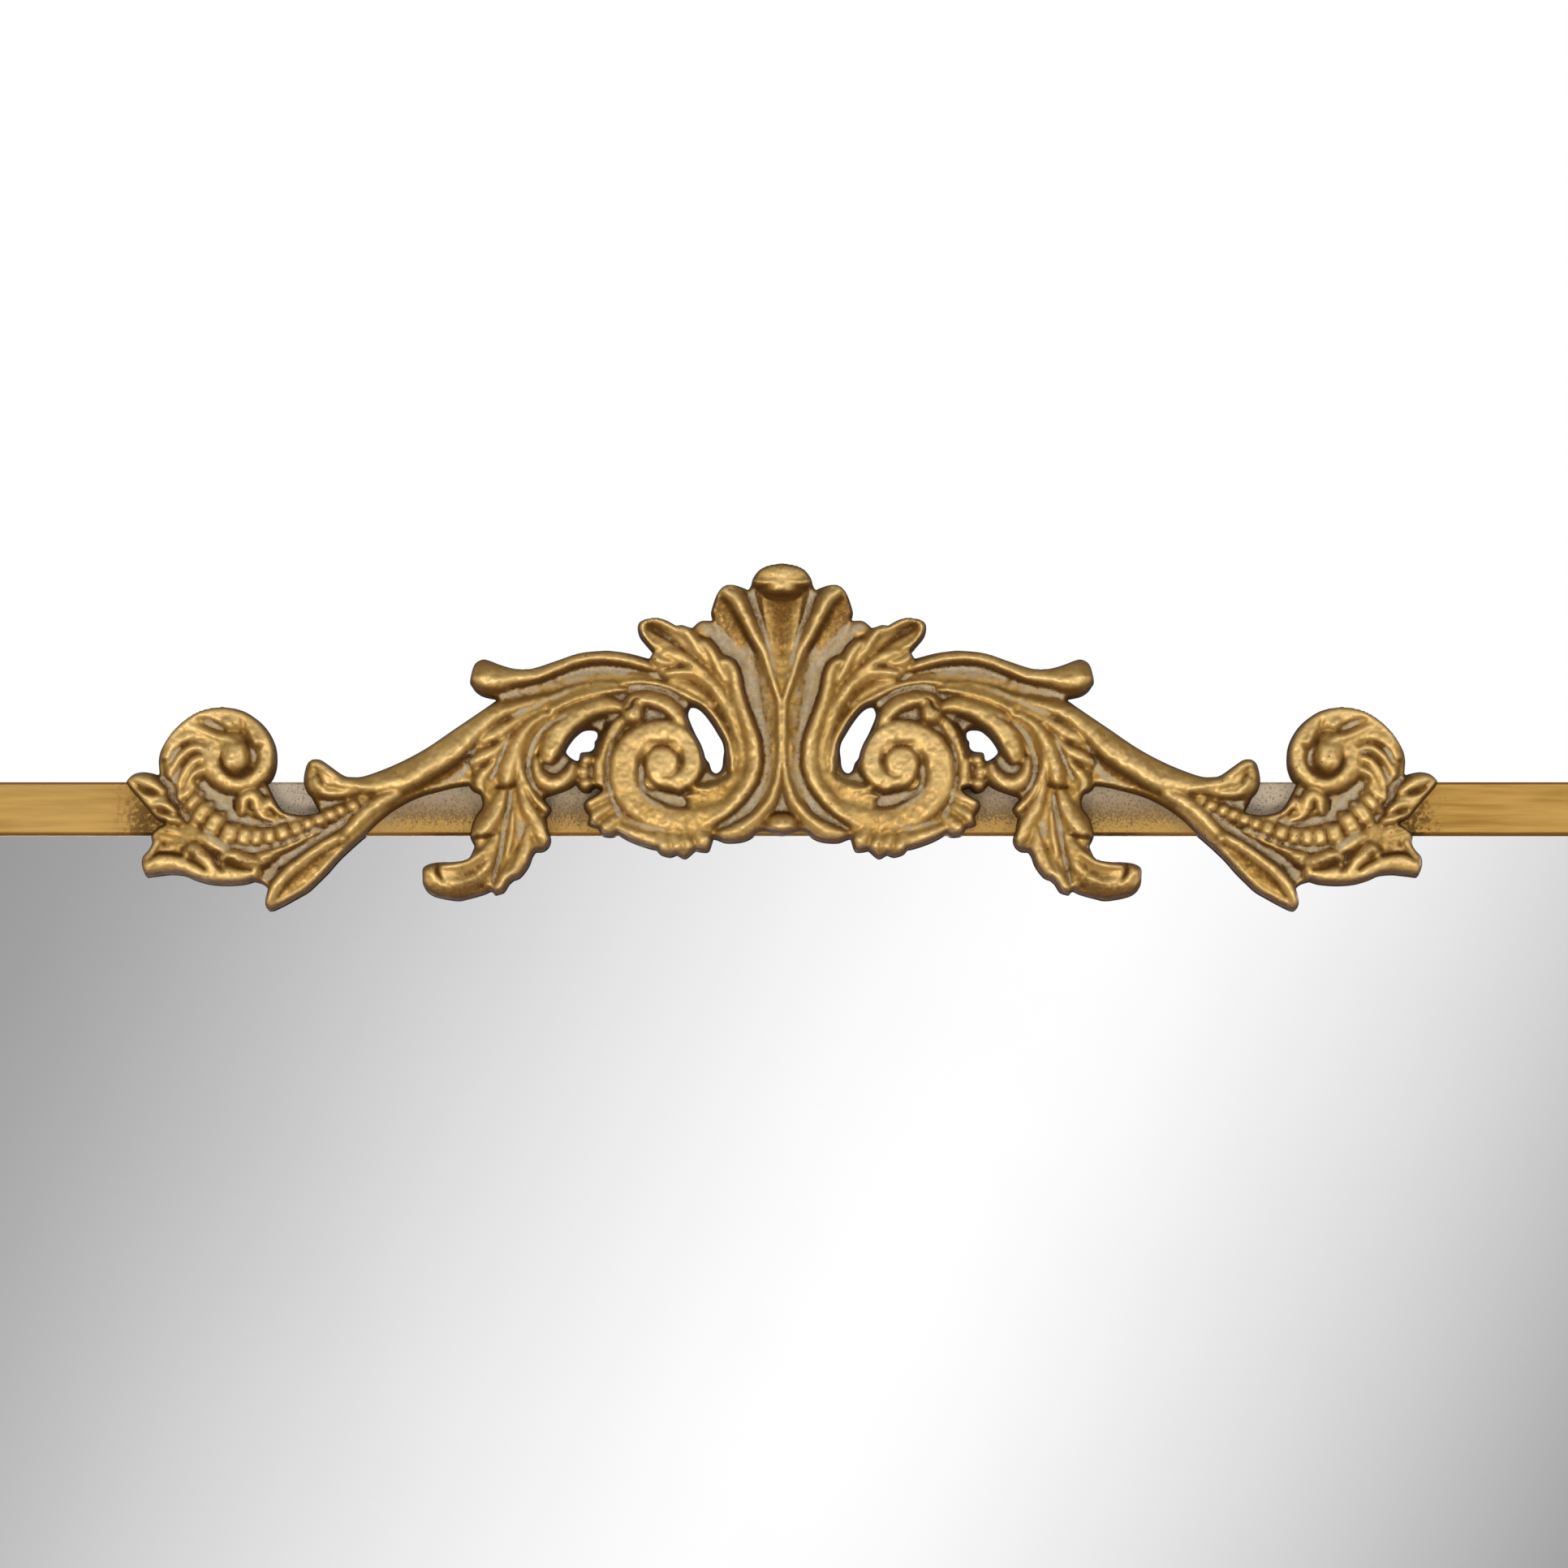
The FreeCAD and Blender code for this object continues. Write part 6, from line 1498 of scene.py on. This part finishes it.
def crest_gilding(name):
    """Burnished gold over umber and painted shade, with painted highlights and a grey wash left in the low
    places.
    """
    gold = shade(162, 124, 62)
    pale_gold = shade(184, 148, 86)
    bright_gold = shade(226, 194, 134)
    olive = shade(134, 103, 50)
    umber = shade(104, 70, 30)
    dark_umber_and_shade = shade(74, 49, 22)
    dark_resin_shade = shade(44, 32, 22)
    wash = shade(186, 173, 148)
    wash_dark = shade(156, 138, 110)
    finish, tree, shader = new_finish(name)
    place = along_frame(tree)

    # Gold that turns olive in patches, bright where it is rubbed and where highlights are painted, and brown
    # where umber and painted shade lie
    cloudy = grain(tree, place, 45, 4)
    mottled = grain(tree, place, 260, 6, 0.7)
    speckle = grain(tree, place, 650, 5, 0.75)
    coats = ("umber", "wash", "worn", "raw")
    tones = [add(tree, "Attribute", attribute_name=coat).outputs["Fac"] for coat in coats]
    umber_and_shade_tone, wash_tone, worn_and_highlight_tone, raw = tones
    colour = mixed(tree, between(tree, cloudy, 0.35, 0.65), gold, pale_gold)
    colour = mixed(tree, between(tree, mottled, 0.45, 0.7, 0, 0.5), colour, olive)
    colour = mixed(tree, figure(tree, "MULTIPLY", worn_and_highlight_tone, 0.55), colour, bright_gold)
    brown = figure(tree, "ADD", umber_and_shade_tone, between(tree, speckle, 0.3, 0.7, -0.12, 0.12))
    colour = mixed(tree, between(tree, brown, 0.1, 0.6), colour, umber)
    colour = mixed(tree, between(tree, brown, 0.55, 1), colour, dark_umber_and_shade)

    # Dark pits, and grey wash that breaks up over the gold
    pores = add(tree, "TexVoronoi", {"Vector": place, "Scale": 300}).outputs["Distance"]
    pits = between(tree, pores, 0.14, 0.07)
    pits = figure(tree, "MULTIPLY", pits, between(tree, mottled, 0.5, 0.56, 0, 0.8))
    colour = mixed(tree, pits, colour, dark_umber_and_shade)
    flecks = between(tree, speckle, 0.46, 0.6)
    washed = mixed(tree, between(tree, mottled, 0.4, 0.7), wash, wash_dark)
    washed = mixed(tree, figure(tree, "MULTIPLY", flecks, 0.8), washed, pale_gold)
    grey = figure(tree, "ADD", wash_tone, between(tree, mottled, 0.3, 0.7, -0.25, 0.25))
    grey = between(tree, grey, 0.15, 0.6)
    grey = figure(tree, "MULTIPLY", grey, figure(tree, "SUBTRACT", 1, between(tree, brown, 0.45, 1)))
    colour = mixed(tree, grey, colour, washed)

    # Coats and bare resin are dull where gold is metal, and the whole is lightly beaten
    dull = figure(tree, "MAXIMUM", grey, between(tree, brown, 0.25, 0.8, 0, 0.95))
    # The bare walls and back are painted dark as shade
    bare = between(tree, raw, 0.6, 0.95)
    colour = mixed(tree, bare, colour, dark_resin_shade)
    dull = figure(tree, "MAXIMUM", dull, bare)
    metal = figure(tree, "MULTIPLY_ADD", dull, -0.58, 0.6)
    rough = between(tree, mottled, 0.3, 0.7, 0.3, 0.42)
    rough = figure(tree, "ADD", rough, figure(tree, "MULTIPLY", dull, 0.3))
    matt = figure(tree, "MAXIMUM", bare, between(tree, umber_and_shade_tone, 0.3, 0.8))
    gloss = figure(tree, "MULTIPLY_ADD", matt, -0.45, 0.5)
    beaten = pitted(tree, mottled, 0.5, beaten_depth)
    fine = pitted(tree, speckle, 0.3, speckle_depth, beaten)
    connect(tree, shader, Base_Color=colour, Metallic=metal, Roughness=rough, Normal=fine,
            Specular_Tint=shade(150, 112, 62), Specular_IOR_Level=gloss)
    return finish


crest_casting.data.materials.append(crest_gilding("burnished_gilding"))
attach(crest_casting, "mirror")
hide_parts("crest")

# Stand hinges
# Two folded steel brackets on the stiles, each with a shouldered pin between nylon washers.
# Black powder coat on the brackets, bright plating on the pins, milky nylon on the washers.
peel_depth = 0.3 * mm
black_coat = skinned("powder_coat", shade(26, 25, 24), shade(42, 40, 38), clouds=(22, 5, 0.6),
                     tone_span=(0.4, 0.8), rough_span=(0.36, 0.5), skin=(480, 3, 0.5), strength=0.3,
                     depth=peel_depth)
dress(black_coat, "hinge_bracket_left", "hinge_bracket_right", "strap_bracket")
dress(zinc_plate(), "hinge_pin_left", "hinge_pin_right")
white_nylon = moulded("white_nylon", shade(220, 218, 208), shade(234, 232, 224), (0.42, 0.55))
dress(white_nylon, "hinge_washers")

# Stand
# One steel tube bent to a U, which swings out behind the mirror and folds flat against it.
# Powder-coated black, with moulded plugs in its open ends and sleeves where it meets the floor.
dress(black_coat, "stand_frame")
dress(black_plastic, "stand_plug_left", "stand_plug_right")
sleeve_rubber = rubber("sleeve_rubber", shade(26, 26, 27), shade(50, 50, 51))
dress(sleeve_rubber, "stand_sleeve_left", "stand_sleeve_right")

# Feet and bumpers
# Rubber feet under the bottom bar and small bumpers that keep the folded mirror off a wall.
# Black rubber like the gasket's, a little greyer where they are handled.
foot_rubber = rubber("foot_rubber", shade(28, 28, 29), shade(58, 57, 56))
dress(foot_rubber, "floor_foot_left", "floor_foot_right", "wall_bumper_left", "wall_bumper_right")

# Studio
# A pale floor that keeps the shadow, a white surround, and a graded card behind the lens.
# The card shows only in the mirror and the gilding, as the sweep from grey to white on the glass.
floor_reach = 2.6
floor_round = 96
card_away = 4.0
card_half_wide = 1.6
card_half_tall = 1.2
card_rise = 0.02
card_power = 1.06
card_slant = -0.5
card_rises = (-0.8, 0.166)
card_sinks = (0.075, 1.105)
low_light_place = (-0.5, -2.4, 1.0)
low_light_size = (1.4, 0.4)
low_light_power = 26
side_light_place = (1.5, -2.4, 2.4)
side_light_size = (0.6, 0.6)
side_light_power = 10
floor_mesh = bmesh.new()
bmesh.ops.create_circle(floor_mesh, cap_ends=True, segments=floor_round, radius=floor_reach)
studio_floor = meshed("studio_floor", floor_mesh)


def floor_paint():
    """Pale paint that fades into the white surround towards its rim."""
    finish, tree, shader = new_finish("floor_paint")
    place = own_place(tree)
    away = add(tree, "VectorMath", {0: place}, operation="LENGTH").outputs["Value"]
    cloudy = grain(tree, place, 2, 3)
    colour = mixed(tree, cloudy, shade(232, 231, 229), shade(238, 237, 235))
    connect(tree, shader, Base_Color=colour, Roughness=0.7)
    path = add(tree, "LightPath")
    seen = figure(tree, "MAXIMUM", path.outputs["Is Camera Ray"], path.outputs["Is Glossy Ray"])
    fade = figure(tree, "MULTIPLY", between(tree, away, floor_reach * 0.45, floor_reach * 0.97), seen)
    white = add(tree, "Emission", {"Color": (1, 1, 1, 1), "Strength": 1.0})
    blend = add(tree, "MixShader", {0: fade, 1: shader.outputs[0], 2: white.outputs[0]})
    tree.links.new(blend.outputs[0], tree.nodes["Material Output"].inputs["Surface"])
    return finish


studio_floor.data.materials.append(floor_paint())

card_mesh = bmesh.new()
card_place = (Matrix.Translation(bar_edge) @ Matrix.Rotation(-lean, 4, "X")
              @ Matrix.Translation((0, -card_away, card_rise)) @ Matrix.Rotation(math.radians(90), 4, "X"))
bmesh.ops.create_grid(card_mesh, x_segments=1, y_segments=1, size=1,
                      matrix=card_place @ Matrix.Diagonal((card_half_wide, card_half_tall, 1, 1)))
light_card = meshed("light_card", card_mesh)
light_card.visible_camera = False
light_card.visible_shadow = False


def card_glow():
    """A glow that is grey at the left, white right of the middle and greyer again at the far right."""
    finish = bpy.data.materials.new("card_glow")
    finish.use_nodes = True
    tree = finish.node_tree
    tree.nodes.clear()
    place = along_frame(tree)
    split = add(tree, "SeparateXYZ", {0: place})
    sweep = figure(tree, "MULTIPLY_ADD", split.outputs["Z"], card_slant, split.outputs["X"])
    rise = between(tree, sweep, *card_rises, 0.3, 1.0)
    sink = between(tree, sweep, *card_sinks, 1.0, 0.1)
    level = figure(tree, "MULTIPLY", figure(tree, "MULTIPLY", rise, sink), card_power)
    side = figure(tree, "ABSOLUTE", split.outputs["X"])
    height = figure(tree, "ABSOLUTE", split.outputs["Z"])
    shown = figure(tree, "MULTIPLY", between(tree, side, card_half_wide, card_half_wide / 2),
                   between(tree, height, card_half_tall, card_half_tall / 2))
    glow = add(tree, "Emission", {"Color": (1, 1, 1, 1), "Strength": level})
    clear = add(tree, "BsdfTransparent")
    blend = add(tree, "MixShader", {0: shown, 1: clear.outputs[0], 2: glow.outputs[0]})
    out = add(tree, "OutputMaterial")
    tree.links.new(blend.outputs[0], out.inputs["Surface"])
    return finish


light_card.data.materials.append(card_glow())

# The surround is plain white to the lens. To all else it is dimmer above, below and behind.
world = bpy.data.worlds.new("surround")
world.use_nodes = True
bpy.context.scene.world = world
world_tree = world.node_tree
world_tree.nodes.clear()
look = add(world_tree, "TexCoord").outputs["Generated"]
looked = add(world_tree, "SeparateXYZ", {0: look})
above = between(world_tree, looked.outputs["Z"], 0.0, 0.8, 0.95, 0.5)
below = between(world_tree, looked.outputs["Z"], -0.9, -0.1, 0.4, 1.0)
front = between(world_tree, looked.outputs["Y"], 0.6, -1, 0.7, 1.1)
soft_light = figure(world_tree, "MULTIPLY", figure(world_tree, "MULTIPLY", above, below), front)
path = add(world_tree, "LightPath")
whole = figure(world_tree, "MAXIMUM", path.outputs["Is Camera Ray"], path.outputs["Is Transmission Ray"])
strength = add(world_tree, "Mix", {0: whole, 2: soft_light, 3: 1.0}, data_type="FLOAT").outputs[0]
surround = add(world_tree, "Background", {"Color": (1, 1, 1, 1), "Strength": strength})
world_out = add(world_tree, "OutputWorld")
world_tree.links.new(surround.outputs[0], world_out.inputs["Surface"])


def soft_lamp(name, spot, target, wide, tall, power):
    """A rectangular soft light aimed at a point."""
    light = bpy.data.lights.new(name, "AREA")
    light.shape = "RECTANGLE"
    light.size = wide
    light.size_y = tall
    light.energy = power
    lamp = placed(name, light)
    lamp.location = spot
    lamp.rotation_euler = (Vector(target) - Vector(spot)).to_track_quat("-Z", "Y").to_euler()


crest_low, crest_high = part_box("crest")
crest_middle = (crest_low + crest_high) / 2
soft_lamp("low_light", low_light_place, crest_middle, *low_light_size, low_light_power)
soft_lamp("side_light", side_light_place, crest_middle, *side_light_size, side_light_power)

# Camera
# A long lens level with the crest, square to the glass within a few degrees, as the photograph was taken.
# The picture is 1932 pixels across, and the crest's middle and the bar's top edge lie where they do there.
picture_px = 1932
camera_away = 4.0
camera_below = math.radians(4)
lens_wide = 36
picture_wide = picture_px * pixel
aim = bar_edge + Matrix.Rotation(-lean, 3, "X") @ Vector(
    ((picture_px / 2 - middle_px) * pixel, 0, (bar_top_px - picture_px / 2) * pixel))
facing = Matrix.Rotation(-lean + camera_below, 3, "X") @ Vector((0, -1, 0))
lens = bpy.data.cameras.new("camera")
lens.sensor_width = lens_wide
lens.lens = lens_wide * camera_away / picture_wide
camera = placed("camera", lens)
camera.location = aim + facing * camera_away
camera.rotation_euler = (-facing).to_track_quat("-Z", "Y").to_euler()
bpy.context.scene.camera = camera
bpy.context.scene.view_settings.view_transform = "Standard"
